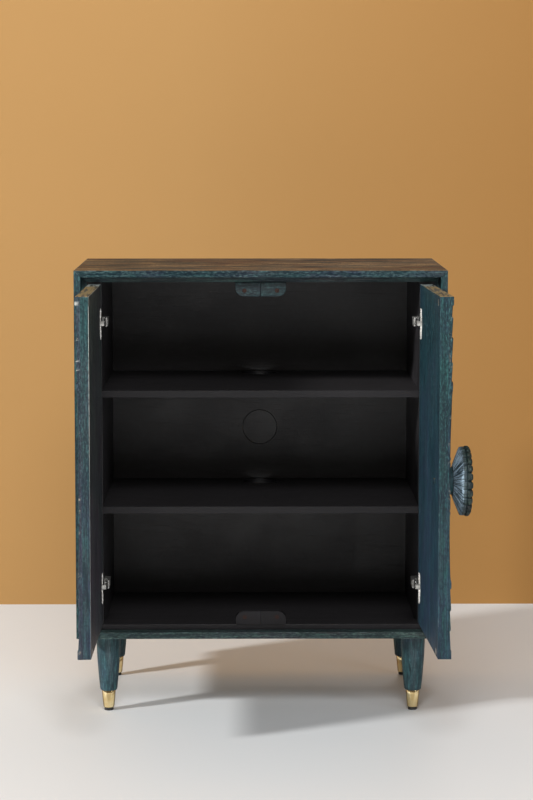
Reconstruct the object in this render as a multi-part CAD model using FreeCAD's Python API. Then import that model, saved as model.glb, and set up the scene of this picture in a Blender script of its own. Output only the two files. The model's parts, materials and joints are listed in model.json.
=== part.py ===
import FreeCAD, Part
import math
import os

# Two-door entryway cabinet on four turned legs, shown with both doors open.
# Sizes are in millimetres. X runs right, Y runs back, Z runs up, and the
# origin lies on the floor below the middle of the case.

# Case
cabinet_width = 838.0
cabinet_depth = 508.0
cabinet_height = 1016.0
board_thickness = 15.0
leg_height = 179.0
back_panel_thickness = 9.0
back_rebate = 6.0
cut_overrun = 5.0

# Frame behind the doors, and the side linings
frame_setback = 33.0
frame_strip = 12.5
post_depth = 60.0
rear_post_depth = 40.0
post_width = 45.5
lining_thickness = 12.0

# Shelves
shelf_thickness = 16.0
upper_shelf_below_ceiling = 258.0
lower_shelf_above_floor = 284.0
shelf_groove = 6.0
cable_hole_diameter = 86.0
shelf_hole_from_back = 14.0

# Cover in the back panel's cable hole
back_hole_above_middle = 2.5
cover_fit = 0.15
cover_groove_width = 2.0
cover_groove_depth = 4.0

# Back panel screws
back_screw_diameter = 3.0
back_screw_head = 6.5
back_screw_head_height = 1.6
back_screw_length = 22.0
back_screw_inset = 11.0
back_screw_count = 5

# Legs
leg_from_side = 69.0
front_leg_from_front = 68.0
back_leg_from_back = 67.5
leg_top_diameter = 55.6
leg_waist_diameter = 39.6
leg_waist_height = 52.0
leg_belly = 1.6
leg_shoulder_share = 0.25
ferrule_height = 47.0
ferrule_top_diameter = 32.0
ferrule_bottom_diameter = 25.0
ferrule_wall = 1.2
glide_height = 7.5
glide_diameter = 21.0
glide_nail_diameter = 2.4
glide_nail_length = 18.0
leg_bolt_diameter = 8.0
leg_bolt_depth = 38.0
insert_diameter = 13.0
insert_height = 12.0

# Doors
door_side_gap = 2.0
door_centre_gap = 2.0
door_bottom_gap = 19.5
door_top_gap = 16.5
door_inset = 29.0
door_board = 18.0
door_border = 18.0
border_relief = 0.8
hinge_edge_chamfer = 4.0
dish_depth = 6.6
dish_radius = 213.0

# Openings of the doors, in degrees from closed
left_door_angle = 90.5
right_door_angle = 92.2

# Concealed hinges
upper_hinge_from_top = 87.0
lower_hinge_from_bottom = 84.5
hinge_design_angle = 90.5
open_edge_setback = 15.0
arm_pin_offset = 43.0
hinge_pin_diameter = 2.5
pin_clearance = 0.05
cup_pin_from_edge = 14.0
cup_pin_depth = 9.5
cup_from_edge = 27.0
cup_diameter = 40.0
cup_wall = 1.5
cup_depth = 19.0
cup_floor = 1.0
flange_length = 69.0
flange_width = 24.0
flange_thickness = 1.2
flange_corner = 6.0
cup_screw_from_centre = 27.5
cup_screw_diameter = 3.4
cup_screw_head = 6.4
cup_screw_head_height = 1.4
cup_screw_length = 13.0
link_height = 10.0
link_thickness = 2.2
link_eye_diameter = 6.4
link_post_clearance = 1.1
link_front_clearance = 1.8
link_bend_reach = 14.6
link_bend_drop = 6.7
arm_height = 19.0
arm_link_clearance = 0.5
arm_nose_diameter = 7.0
arm_web = 1.5
arm_web_from_pin = 6.0
arm_length = 50.0
plate_thickness = 3.0
plate_from_frame = 23.0
plate_height = 21.0
plate_length = 36.0
plate_screw_from_centre = 11.0
plate_screw_diameter = 3.6
plate_screw_head = 7.0
plate_screw_head_height = 1.8
plate_screw_length = 19.0

# Stop blocks with magnets, and the plates that the magnets pull
stop_clearance = 0.4
stop_width = 56.6
stop_seam = 0.8
stop_depth = 25.0
upper_stop_height = 32.5
lower_stop_height = 30.5
stop_corner = 19.0
magnet_diameter = 10.0
magnet_thickness = 5.0
magnet_recess = 1.0
magnet_from_centre = 36.7
magnet_from_edge = 13.5
strike_diameter = 15.0
strike_thickness = 1.5

# Knob on the right door
knob_from_bottom = 371.0
knob_from_free_edge = 78.0
knob_diameter = 151.0
knob_lobes = 24
knob_lobe_share = 1.12
knob_rim_thickness = 16.0
knob_back_rise = 22.0
knob_bulge = 2.75
knob_crown = 3.0
stem_diameter = 59.0
stem_length = 13.0
stem_seat = 1.0
knob_bolt_diameter = 6.0
knob_bolt_head = 12.0
knob_bolt_head_height = 3.0
knob_bolt_length = 52.0

# Places worked out from the sizes
half_width = cabinet_width / 2
front_y = -cabinet_depth / 2
back_y = cabinet_depth / 2
side_face = half_width - board_thickness
lining_face = side_face - post_width
floor_top = leg_height + board_thickness
ceiling = cabinet_height - board_thickness
frame_y = front_y + frame_setback
post_back_y = frame_y + post_depth
panel_face_y = back_y - back_panel_thickness
rail_top = floor_top + frame_strip
rail_bottom = ceiling - frame_strip
upper_shelf_top = ceiling - upper_shelf_below_ceiling
lower_shelf_top = floor_top + lower_shelf_above_floor
back_hole_height = (lower_shelf_top + upper_shelf_top - shelf_thickness) / 2 + back_hole_above_middle
door_bottom = floor_top + door_bottom_gap
door_top = ceiling - door_top_gap
door_face_y = front_y + door_inset
door_width = side_face - door_side_gap - door_centre_gap / 2
door_edge_x = -side_face + door_side_gap
stop_y = door_face_y + stop_clearance
leg_front_y = front_y + front_leg_from_front
leg_back_y = back_y - back_leg_from_back
shelf_hole_y = back_y - shelf_hole_from_back - cable_hole_diameter / 2
cup_radius = cup_diameter / 2
knob_height = door_bottom + knob_from_bottom
hinge_heights = {"upper": door_top - upper_hinge_from_top, "lower": door_bottom + lower_hinge_from_bottom}

x_axis = FreeCAD.Vector(1, 0, 0)
y_axis = FreeCAD.Vector(0, 1, 0)
z_axis = FreeCAD.Vector(0, 0, 1)
origin = FreeCAD.Vector(0, 0, 0)

parts = {}


def box(x0, x1, y0, y1, z0, z1):
    return Part.makeBox(x1 - x0, y1 - y0, z1 - z0, FreeCAD.Vector(x0, y0, z0))


def rod(diameter, start, axis, length):
    return Part.makeCylinder(diameter / 2, length, start, axis)


def profile_y(points, y0, y1):
    # a shape drawn in X and Z, pushed along Y
    wire = Part.makePolygon([FreeCAD.Vector(x, y0, z) for x, z in points + points[:1]])
    return Part.Face(wire).extrude(FreeCAD.Vector(0, y1 - y0, 0))


def turned(points, centre_x, centre_y):
    # a shape drawn in radius and height, turned about an upright line
    wire = Part.makePolygon([FreeCAD.Vector(r, 0, z) for r, z in points + points[:1]])
    solid = Part.Face(wire).revolve(origin, z_axis, 360)
    solid.translate(FreeCAD.Vector(centre_x, centre_y, 0))
    return solid


def mirrored(shape):
    return shape.mirror(origin, x_axis)


def group(shapes):
    return Part.makeCompound(shapes)


def add(name, shape):
    parts[name] = shape


def add_pair(name, shape):
    # the shape is drawn on the left side
    add("left_" + name, shape)
    add("right_" + name, mirrored(shape))


def screw(diameter, head, head_height, length, start, axis):
    # start is the underside of the head, and axis points along the shank
    shank = rod(diameter, start, axis, length)
    return shank.fuse(rod(head, start - axis * head_height, axis, head_height))


def make_case():
    panel_half = side_face + back_rebate
    panel_low = floor_top - back_rebate
    panel_high = ceiling + back_rebate
    panel = box(-panel_half, panel_half, panel_face_y, back_y, panel_low, panel_high)
    top = profile_y([(-half_width, cabinet_height), (half_width, cabinet_height),
                     (side_face, ceiling), (-side_face, ceiling)], front_y, back_y)
    bottom = profile_y([(-half_width, leg_height), (half_width, leg_height),
                        (side_face, floor_top), (-side_face, floor_top)], front_y, back_y)
    side = profile_y([(-half_width, leg_height), (-side_face, floor_top),
                      (-side_face, ceiling), (-half_width, cabinet_height)], front_y, back_y)

    hole = rod(cable_hole_diameter, FreeCAD.Vector(0, panel_face_y - cut_overrun, back_hole_height),
               y_axis, back_panel_thickness + 2 * cut_overrun)
    cover_thickness = back_panel_thickness - cover_groove_depth
    cover = rod(cable_hole_diameter - 2 * cover_fit,
                FreeCAD.Vector(0, back_y - cover_thickness, back_hole_height), y_axis, cover_thickness)
    cover = cover.fuse(rod(cable_hole_diameter - 2 * cover_groove_width,
                           FreeCAD.Vector(0, panel_face_y, back_hole_height), y_axis, back_panel_thickness))

    screws = []
    screw_x = panel_half - back_rebate / 2 - back_screw_diameter / 2
    head_seat_y = back_y - back_screw_head_height
    low = panel_low + back_screw_inset + back_rebate
    high = panel_high - back_screw_inset - back_rebate
    for i in range(back_screw_count):
        z = low + (high - low) * i / (back_screw_count - 1)
        for x in (-screw_x, screw_x):
            screws.append(screw(back_screw_diameter, back_screw_head, back_screw_head_height,
                                back_screw_length, FreeCAD.Vector(x, head_seat_y, z), -y_axis))
    screws = group(screws)

    add("top_board", top.cut(panel))
    add("bottom_board", bottom.cut(panel))
    add_pair("side_board", side.cut(panel).cut(screws))
    add("back_panel", panel.cut(hole).cut(screws))
    add("cable_hole_cover", cover.removeSplitter())
    add("back_panel_screws", screws)


def make_frame():
    outer = side_face
    inner = side_face - frame_strip
    add("top_rail", profile_y([(-outer, ceiling), (outer, ceiling), (inner, rail_bottom),
                               (-inner, rail_bottom)], frame_y, post_back_y))
    add("bottom_rail", profile_y([(-outer, floor_top), (outer, floor_top), (inner, rail_top),
                                  (-inner, rail_top)], frame_y, post_back_y))
    post = profile_y([(-outer, floor_top), (-inner, rail_top), (-lining_face, rail_top),
                      (-lining_face, rail_bottom), (-inner, rail_bottom), (-outer, ceiling)],
                     frame_y, post_back_y)
    add_pair("front_post", post)
    lining_back = lining_face + lining_thickness
    rear = box(-side_face, -lining_back, panel_face_y - rear_post_depth, panel_face_y, floor_top, ceiling)
    add("rear_posts", group([rear, mirrored(rear)]))
    add_pair("side_lining", box(-lining_back, -lining_face, post_back_y, panel_face_y, floor_top, ceiling))


def make_shelves():
    for name, top in (("upper_shelf", upper_shelf_top), ("lower_shelf", lower_shelf_top)):
        bottom = top - shelf_thickness
        tongue = lining_face + shelf_groove
        shelf = box(-lining_face, lining_face, frame_y, post_back_y, bottom, top)
        shelf = shelf.fuse(box(-tongue, tongue, post_back_y, panel_face_y, bottom, top)).removeSplitter()
        for side in ("left_", "right_"):
            parts[side + "side_lining"] = parts[side + "side_lining"].cut(shelf)
        hole = rod(cable_hole_diameter, FreeCAD.Vector(0, shelf_hole_y, bottom - cut_overrun),
                   z_axis, shelf_thickness + 2 * cut_overrun)
        add(name, shelf.cut(hole))


def make_leg(name, x, y):
    top_r = leg_top_diameter / 2
    waist_r = leg_waist_diameter / 2
    ferrule_r = ferrule_top_diameter / 2
    foot_r = ferrule_bottom_diameter / 2
    tip_r = foot_r - ferrule_wall
    neck_r = ferrule_r - ferrule_wall
    tip_z = glide_height + ferrule_wall
    middle = FreeCAD.Vector((top_r + waist_r) / 2 + leg_belly, 0, (leg_height + leg_waist_height) / 2)
    shoulder_z = (leg_waist_height + ferrule_height) / 2
    shoulder_r = waist_r - (waist_r - ferrule_r) * leg_shoulder_share

    def at(r, z):
        return FreeCAD.Vector(r, 0, z)

    edges = [
        Part.makeLine(at(0, tip_z), at(tip_r, tip_z)),
        Part.makeLine(at(tip_r, tip_z), at(neck_r, ferrule_height)),
        Part.makeLine(at(neck_r, ferrule_height), at(ferrule_r, ferrule_height)),
        Part.Arc(at(ferrule_r, ferrule_height), at(shoulder_r, shoulder_z),
                 at(waist_r, leg_waist_height)).toShape(),
        Part.Arc(at(waist_r, leg_waist_height), middle, at(top_r, leg_height)).toShape(),
        Part.makeLine(at(top_r, leg_height), at(0, leg_height)),
        Part.makeLine(at(0, leg_height), at(0, tip_z)),
    ]
    leg = Part.Face(Part.Wire(edges)).revolve(origin, z_axis, 360)
    leg.translate(FreeCAD.Vector(x, y, 0))

    nail = rod(glide_nail_diameter, FreeCAD.Vector(x, y, glide_height), z_axis, glide_nail_length)
    bolt = rod(leg_bolt_diameter, FreeCAD.Vector(x, y, leg_height - leg_bolt_depth),
               z_axis, leg_bolt_depth + insert_height)
    insert = rod(insert_diameter, FreeCAD.Vector(x, y, leg_height), z_axis, insert_height)
    ferrule = turned([(0, glide_height), (foot_r, glide_height), (ferrule_r, ferrule_height),
                      (neck_r, ferrule_height), (tip_r, tip_z), (0, tip_z)], x, y)
    glide = rod(glide_diameter, FreeCAD.Vector(x, y, 0), z_axis, glide_height)

    add(name, leg.cut(nail).cut(bolt))
    add(name + "_ferrule", ferrule.cut(nail))
    parts["bottom_board"] = parts["bottom_board"].cut(insert)
    return glide.fuse(nail), bolt, insert.cut(bolt)


def make_legs():
    glides = []
    bolts = []
    inserts = []
    half_spacing = half_width - leg_from_side
    for side, x in (("left", -half_spacing), ("right", half_spacing)):
        for end, y in (("front", leg_front_y), ("back", leg_back_y)):
            glide, bolt, insert = make_leg(end + "_" + side + "_leg", x, y)
            glides.append(glide)
            bolts.append(bolt)
            inserts.append(insert)
    add("foot_glides", group(glides))
    add("leg_bolts", group(bolts))
    add("leg_inserts", group(inserts))


def magnet_heights():
    upper = rail_bottom - upper_stop_height + magnet_from_edge
    lower = rail_top + lower_stop_height - magnet_from_edge
    return upper, lower


def make_stops():
    # each block hangs from the top rail or stands on the bottom rail, one for each door
    magnets = []
    upper_z, lower_z = magnet_heights()
    outer = -stop_width - stop_seam / 2
    inner = -stop_seam / 2
    blocks = (("upper", rail_bottom, rail_bottom - upper_stop_height, upper_z),
              ("lower", rail_top, rail_top + lower_stop_height, lower_z))
    for level, seat_z, free_z, magnet_z in blocks:
        block = box(outer, inner, stop_y, stop_y + stop_depth, min(seat_z, free_z), max(seat_z, free_z))
        corner = [e for e in block.Edges
                  if all(abs(v.X - outer) + abs(v.Z - free_z) < stop_seam for v in e.Vertexes)]
        block = block.makeFillet(stop_corner, corner)
        mouth = FreeCAD.Vector(-magnet_from_centre, stop_y, magnet_z)
        pocket = rod(magnet_diameter, mouth, y_axis, magnet_recess + magnet_thickness)
        magnet = rod(magnet_diameter, mouth + y_axis * magnet_recess, y_axis, magnet_thickness)
        block = block.cut(pocket)
        add("left_%s_stop_block" % level, block)
        add("right_%s_stop_block" % level, mirrored(block))
        magnets += [magnet, mirrored(magnet)]
    add("stop_magnets", group(magnets))


# The hinge chain is worked out on the left side, seen from above. Angles
# run from closed. The door turns clockwise as it opens while the link
# turns the other way at a steady ratio.

def door_directions(angle):
    turn = math.radians(angle)
    along = FreeCAD.Vector(math.cos(turn), -math.sin(turn), 0)
    deep = FreeCAD.Vector(-math.sin(turn), -math.cos(turn), 0)
    return along, deep


def cup_pin_at(edge, angle):
    along, deep = door_directions(angle)
    return edge + along * cup_pin_from_edge + deep * cup_pin_depth


closed_edge = FreeCAD.Vector(door_edge_x, door_face_y, 0)
open_edge = FreeCAD.Vector(-lining_face, front_y + open_edge_setback, 0)
closed_pin = cup_pin_at(closed_edge, 0)
open_pin = cup_pin_at(open_edge, hinge_design_angle)
pin_travel = open_pin - closed_pin
arm_side = FreeCAD.Vector(-pin_travel.y, pin_travel.x, 0).normalize()
arm_pin = (closed_pin + open_pin) * 0.5 + arm_side * arm_pin_offset


def bearing(vector):
    return math.degrees(math.atan2(vector.y, vector.x)) % 360


link_swing = bearing(open_pin - arm_pin) - bearing(closed_pin - arm_pin)
link_ratio = link_swing / hinge_design_angle


def move_link(shape, angle):
    moved = shape.copy()
    moved.rotate(arm_pin, z_axis, link_ratio * angle)
    return moved


def cup_pin_place(angle):
    reach = closed_pin - arm_pin
    return arm_pin + FreeCAD.Rotation(z_axis, link_ratio * angle).multVec(reach)


def move_door(shape, angle):
    moved = shape.copy()
    moved.rotate(closed_pin, z_axis, -angle)
    moved.translate(cup_pin_place(angle) - closed_pin)
    return moved


def segment(start, end, thickness, z0, z1):
    run = end - start
    bar = box(0, run.Length, -thickness / 2, thickness / 2, z0, z1)
    bar.rotate(origin, z_axis, bearing(run))
    bar.translate(start)
    return bar


def upright(diameter, place, z0, z1):
    return rod(diameter, FreeCAD.Vector(place.x, place.y, z0), z_axis, z1 - z0)


def make_link(height):
    z0 = height - link_height / 2
    z1 = height + link_height / 2
    corner = FreeCAD.Vector(-lining_face + link_post_clearance, frame_y - link_front_clearance, 0)
    bend = closed_pin + FreeCAD.Vector(link_bend_reach, -link_bend_drop, 0)
    path = [arm_pin, corner, bend, closed_pin]
    link = upright(link_eye_diameter, arm_pin, z0, z1)
    link = link.fuse(upright(link_eye_diameter, closed_pin, z0, z1))
    for start, end in zip(path[:-1], path[1:]):
        link = link.fuse(segment(start, end, link_thickness, z0, z1))
    for place in (corner, bend):
        link = link.fuse(upright(link_thickness, place, z0, z1))
    bore = hinge_pin_diameter + 2 * pin_clearance
    for place in (arm_pin, closed_pin):
        link = link.cut(upright(bore, place, z0 - cut_overrun, z1 + cut_overrun))
    return link.removeSplitter()


def make_arm(height):
    z0 = height - arm_height / 2
    z1 = height + arm_height / 2
    plate_x = -lining_face + plate_thickness
    arm_x = arm_pin.x + arm_nose_diameter / 2
    end_y = arm_pin.y + arm_length
    foot_y = frame_y + plate_from_frame
    arm = upright(arm_nose_diameter, arm_pin, z0, z1)
    arm = arm.fuse(box(arm_x - arm_nose_diameter, arm_x, arm_pin.y, end_y, z0, z1))
    arm = arm.fuse(box(plate_x, arm_x, foot_y, end_y, z0, z1))
    gap = link_height / 2 + arm_link_clearance
    web_y = arm_pin.y + arm_web_from_pin
    slot = box(plate_x - cut_overrun, arm_x + cut_overrun, arm_pin.y - arm_nose_diameter,
               web_y, height - gap, height + gap)
    slot = slot.fuse(box(plate_x - cut_overrun, arm_x - arm_web, web_y - cut_overrun,
                         end_y + cut_overrun, height - gap, height + gap))
    pin = upright(hinge_pin_diameter, arm_pin, z0, z1)
    return arm.cut(slot).cut(pin).removeSplitter(), pin


def make_plate(height):
    y0 = frame_y + plate_from_frame
    face = -lining_face + plate_thickness
    plate = box(-lining_face, face, y0, y0 + plate_length, height - plate_height / 2, height + plate_height / 2)
    screws = []
    for offset in (-plate_screw_from_centre, plate_screw_from_centre):
        start = FreeCAD.Vector(face, y0 + plate_length / 2 + offset, height)
        screws.append(screw(plate_screw_diameter, plate_screw_head, plate_screw_head_height,
                            plate_screw_length, start, -x_axis))
    return plate, screws


def make_cup(height):
    centre = FreeCAD.Vector(door_edge_x + cup_from_edge, door_face_y, height)
    outside = rod(cup_diameter, centre, -y_axis, cup_depth)
    inside = rod(cup_diameter - 2 * cup_wall, centre + y_axis * cut_overrun, -y_axis,
                 cup_depth - cup_floor + cut_overrun)
    flange = box(centre.x - flange_width / 2, centre.x + flange_width / 2, door_face_y,
                 door_face_y + flange_thickness, height - flange_length / 2, height + flange_length / 2)
    upright_to_face = [e for e in flange.Edges if abs(e.Vertexes[0].Y - e.Vertexes[1].Y) > flange_thickness / 2]
    flange = flange.makeFillet(flange_corner, upright_to_face)
    pin_side = cup_from_edge - cup_pin_from_edge + hinge_pin_diameter / 2
    pin_half = math.sqrt(cup_radius ** 2 - pin_side ** 2) - pin_clearance
    pin = upright(hinge_pin_diameter, closed_pin, height - pin_half, height + pin_half)
    screws = []
    for offset in (-cup_screw_from_centre, cup_screw_from_centre):
        start = centre + y_axis * flange_thickness + z_axis * offset
        screws.append(screw(cup_screw_diameter, cup_screw_head, cup_screw_head_height,
                            cup_screw_length, start, -y_axis))
    cup = outside.fuse(flange).cut(inside).cut(pin)
    return cup.cut(group(screws)).removeSplitter(), outside, pin, screws


def make_strikes():
    plates = []
    for z in magnet_heights():
        start = FreeCAD.Vector(-magnet_from_centre, door_face_y, z)
        plates.append(rod(strike_diameter, start, -y_axis, strike_thickness))
    return plates


def make_door_blank():
    free_x = door_edge_x + door_width
    board_y = door_face_y - door_board
    board = box(door_edge_x, free_x, board_y, door_face_y, door_bottom, door_top)
    carving = box(door_edge_x, free_x, front_y, board_y, door_bottom, door_top)
    hinge_edge = [e for e in carving.Edges
                  if all(abs(v.X - door_edge_x) + abs(v.Y - front_y) < border_relief for v in e.Vertexes)]
    carving = carving.makeChamfer(hinge_edge_chamfer, hinge_edge)
    field = box(door_edge_x + door_border, free_x + cut_overrun, front_y - cut_overrun,
                front_y + border_relief, door_bottom + door_border, door_top - door_border)
    ball_radius = (dish_radius ** 2 + dish_depth ** 2) / (2 * dish_depth)
    ball_y = front_y + border_relief + dish_depth - ball_radius
    dish = Part.makeSphere(ball_radius, FreeCAD.Vector(0, ball_y, knob_height))
    return board, carving.cut(field).cut(dish)


def make_knob():
    # drawn on the left door's mirror image, with its axis square to the door
    x = door_edge_x + door_width - knob_from_free_edge
    reach = knob_from_free_edge + door_centre_gap / 2
    dish_here = dish_depth * (1 - (reach / dish_radius) ** 2)
    surface_y = front_y + border_relief + dish_here
    seat_y = surface_y + stem_seat
    stem_end_y = surface_y - stem_length
    stem = rod(stem_diameter, FreeCAD.Vector(x, seat_y, knob_height), -y_axis, stem_length + stem_seat)

    rim_r = knob_diameter / 2
    lobe_r = rim_r * math.sin(math.pi / knob_lobes) * knob_lobe_share
    body_r = rim_r - lobe_r
    rim_y = stem_end_y - knob_back_rise
    front = rim_y - knob_rim_thickness
    stem_r = stem_diameter / 2

    def at(r, y):
        return FreeCAD.Vector(x + r, y, knob_height)

    back_middle = at((stem_r + rim_r) / 2 + knob_bulge, (stem_end_y + rim_y) / 2 + knob_bulge)
    back_curve = Part.Arc(at(stem_r, stem_end_y), back_middle, at(rim_r, rim_y)).toShape()
    dome = Part.Face(Part.Wire([
        Part.makeLine(at(0, stem_end_y), at(stem_r, stem_end_y)),
        back_curve,
        Part.makeLine(at(rim_r, rim_y), at(rim_r, front)),
        Part.makeLine(at(rim_r, front), at(body_r, front)),
        Part.makeLine(at(body_r, front), at(0, front - knob_crown)),
        Part.makeLine(at(0, front - knob_crown), at(0, stem_end_y)),
    ])).revolve(FreeCAD.Vector(x, 0, knob_height), y_axis, 360)
    depth = knob_back_rise + knob_rim_thickness + 2 * knob_crown
    outline = rod(2 * body_r, FreeCAD.Vector(x, stem_end_y + knob_crown, knob_height), -y_axis,
                  depth + knob_crown)
    for i in range(knob_lobes):
        turn = 2 * math.pi * i / knob_lobes
        place = FreeCAD.Vector(x + body_r * math.cos(turn), stem_end_y + knob_crown,
                               knob_height + body_r * math.sin(turn))
        outline = outline.fuse(rod(2 * lobe_r, place, -y_axis, depth + knob_crown))
    knob = dome.common(outline)
    bolt = screw(knob_bolt_diameter, knob_bolt_head, knob_bolt_head_height, knob_bolt_length,
                 FreeCAD.Vector(x, door_face_y, knob_height), -y_axis)
    return knob, stem, bolt


def make_doors():
    arm_pins = []
    plates = []
    plate_screws = []
    for side, angle in (("left", left_door_angle), ("right", right_door_angle)):
        def place(shape):
            return shape if side == "left" else mirrored(shape)

        board, carving = make_door_blank()
        cup_pins = []
        cup_screws = []
        for level, height in hinge_heights.items():
            name = "%s_%s_hinge_" % (side, level)
            arm, arm_rivet = make_arm(height)
            plate, screws = make_plate(height)
            cup, pot, cup_rivet, flange_screws = make_cup(height)
            board = board.cut(pot).cut(group(flange_screws))
            carving = carving.cut(pot)
            arm_pins.append(place(arm_rivet))
            plates.append(place(plate.cut(group(screws))))
            plate_screws += [place(s) for s in screws]
            post = side + "_front_post"
            parts[post] = parts[post].cut(group([place(s) for s in screws]))
            add(name + "arm", place(arm))
            add(name + "link", place(move_link(make_link(height), angle)))
            add(name + "cup", place(move_door(cup, angle)))
            cup_pins.append(place(move_door(cup_rivet, angle)))
            cup_screws += [place(move_door(s, angle)) for s in flange_screws]
        strikes = make_strikes()
        board = board.cut(group(strikes))
        if side == "right":
            knob, stem, bolt = make_knob()
            board = board.cut(bolt)
            carving = carving.cut(bolt).cut(stem)
            add("knob", place(move_door(knob.cut(bolt), angle)))
            add("knob_stem", place(move_door(stem.cut(bolt), angle)))
            add("knob_bolt", place(move_door(bolt, angle)))
        add(side + "_door", place(move_door(board, angle)))
        add(side + "_door_carving", place(move_door(carving, angle)))
        add(side + "_strike_plates", group([place(move_door(s, angle)) for s in strikes]))
        add(side + "_cup_pins", group(cup_pins))
        add(side + "_cup_screws", group(cup_screws))
    add("hinge_arm_pins", group(arm_pins))
    add("hinge_plates", group(plates))
    add("hinge_plate_screws", group(plate_screws))


def main():
    os.makedirs("parts", exist_ok=True)
    make_case()
    make_frame()
    make_shelves()
    make_legs()
    make_stops()
    make_doors()
    for name, shape in parts.items():
        shape.exportStep("parts/%s.step" % name)
        print("%-28s solids %d  volume %.0f  valid %s"
              % (name, len(shape.Solids), shape.Volume, shape.isValid()))
    print("left arm pin  %.3f %.3f" % (arm_pin.x, arm_pin.y))
    for side, angle in (("left", left_door_angle), ("right", right_door_angle)):
        pin = cup_pin_place(angle)
        print("%s cup pin at rest, drawn on the left  %.3f %.3f" % (side, pin.x, pin.y))
    print("link ratio %.6f" % link_ratio)


main()
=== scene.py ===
import bmesh
import bpy
import itertools
import json
import math
from mathutils import Matrix, Vector


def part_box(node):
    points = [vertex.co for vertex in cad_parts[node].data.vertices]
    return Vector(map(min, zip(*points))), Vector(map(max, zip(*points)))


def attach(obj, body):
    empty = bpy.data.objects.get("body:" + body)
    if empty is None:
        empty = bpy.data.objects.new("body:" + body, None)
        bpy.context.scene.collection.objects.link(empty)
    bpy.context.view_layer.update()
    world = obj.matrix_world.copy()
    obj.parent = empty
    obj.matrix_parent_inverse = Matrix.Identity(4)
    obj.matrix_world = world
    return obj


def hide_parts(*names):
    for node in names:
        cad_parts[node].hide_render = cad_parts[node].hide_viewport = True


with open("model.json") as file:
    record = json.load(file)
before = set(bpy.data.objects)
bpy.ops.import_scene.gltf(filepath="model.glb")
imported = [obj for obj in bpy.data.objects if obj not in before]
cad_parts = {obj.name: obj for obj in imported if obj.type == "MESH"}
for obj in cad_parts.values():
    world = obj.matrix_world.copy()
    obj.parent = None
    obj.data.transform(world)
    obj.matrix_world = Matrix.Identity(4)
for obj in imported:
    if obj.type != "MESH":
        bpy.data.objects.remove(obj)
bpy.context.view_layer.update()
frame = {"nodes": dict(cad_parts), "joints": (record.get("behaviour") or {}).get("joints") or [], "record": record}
joints = {joint["name"]: joint for joint in frame["joints"]}
couplings = frame["record"]["behaviour"]["couplings"]
scene = bpy.context.scene
print("frame loaded,", len(frame["nodes"]), "nodes")


# Camera, at the photograph's place

camera = {"place": (-0.0312, -5.9645, 1.3536), "pitchDown": 6.28, "turnRight": 0.44,
          "lens": 114.95, "film": 36.0}


def makeCamera():
    data = bpy.data.cameras.new("camera")
    data.lens = camera["lens"]
    data.sensor_width = camera["film"]
    eye = bpy.data.objects.new("camera", data)
    eye.location = camera["place"]
    eye.rotation_euler = (math.radians(90 - camera["pitchDown"]), 0, math.radians(-camera["turnRight"]))
    scene.collection.objects.link(eye)
    scene.camera = eye


# Node helpers

def isSocket(value):
    return isinstance(value, bpy.types.NodeSocket)


def treeOf(values):
    return next(value.id_data for value in values if isSocket(value))


def setInput(tree, socket, value):
    if isSocket(value):
        tree.links.new(value, socket)
    else:
        socket.default_value = value


def addNode(tree, kind, inputs=None, **settings):
    node = tree.nodes.new(kind)
    for name, value in settings.items():
        setattr(node, name, value)
    for key, value in (inputs or {}).items():
        setInput(tree, node.inputs[key], value)
    return node


def calc(operation, *values, clamp=False):
    return addNode(treeOf(values), "ShaderNodeMath", dict(enumerate(values)), operation=operation,
                   use_clamp=clamp).outputs[0]


# an arithmetic sign between sockets adds its maths node to their tree, so formulas read as formulas
for sign, signOperation in (("add", "ADD"), ("sub", "SUBTRACT"), ("mul", "MULTIPLY"), ("truediv", "DIVIDE"),
                            ("pow", "POWER")):
    setattr(bpy.types.NodeSocket, "__%s__" % sign,
            lambda own, other, operation=signOperation: calc(operation, own, other))
    setattr(bpy.types.NodeSocket, "__r%s__" % sign,
            lambda own, other, operation=signOperation: calc(operation, other, own))
bpy.types.NodeSocket.__neg__ = lambda own: calc("MULTIPLY", own, -1.0)
bpy.types.NodeSocket.__abs__ = lambda own: calc("ABSOLUTE", own)


def vectorCalc(operation, *values, scale=None):
    inputs = dict(enumerate(values))
    if scale is not None:
        inputs["Scale"] = scale
    node = addNode(treeOf(inputs.values()), "ShaderNodeVectorMath", inputs, operation=operation)
    return node.outputs["Value" if operation == "LENGTH" else "Vector"]


def stretch(vector, way):
    return vectorCalc("MULTIPLY", vector, way)


def apart(vector):
    return addNode(vector.id_data, "ShaderNodeSeparateXYZ", {0: vector}).outputs


def together(tree, **values):
    return addNode(tree, "ShaderNodeCombineXYZ", values).outputs[0]


def ramp(value, low, high, toLow=0.0, toHigh=1.0, kind="SMOOTHSTEP"):
    inputs = {"Value": value, "From Min": low, "From Max": high, "To Min": toLow, "To Max": toHigh}
    return addNode(value.id_data, "ShaderNodeMapRange", inputs, interpolation_type=kind).outputs[0]


def line(value, low, high, toLow=0.0, toHigh=1.0):
    return ramp(value, low, high, toLow, toHigh, "LINEAR")


def bell(value):
    return calc("EXPONENT", -(value * value))


def blend(factor, first, second, mode="MIX"):
    # sockets 0, 6 and 7 of a colour mix are its factor and its two colours
    tree = treeOf((factor, first, second))
    node = addNode(tree, "ShaderNodeMix", data_type="RGBA", blend_type=mode)
    for index, value in ((0, factor), (6, first), (7, second)):
        if index > 0 and not isSocket(value):
            value = (*value, 1.0)
        setInput(tree, node.inputs[index], value)
    return node.outputs[2]


def noise(vector, scale, detail=4.0, roughness=0.55, distortion=0.0):
    inputs = {"Vector": vector, "Scale": scale, "Detail": detail, "Roughness": roughness,
              "Distortion": distortion}
    return addNode(vector.id_data, "ShaderNodeTexNoise", inputs).outputs["Fac"]


def coordinates(tree, kind="Object"):
    return addNode(tree, "ShaderNodeTexCoord").outputs[kind]


def attribute(tree, name, kind="Fac"):
    return addNode(tree, "ShaderNodeAttribute", attribute_name=name).outputs[kind]


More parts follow.
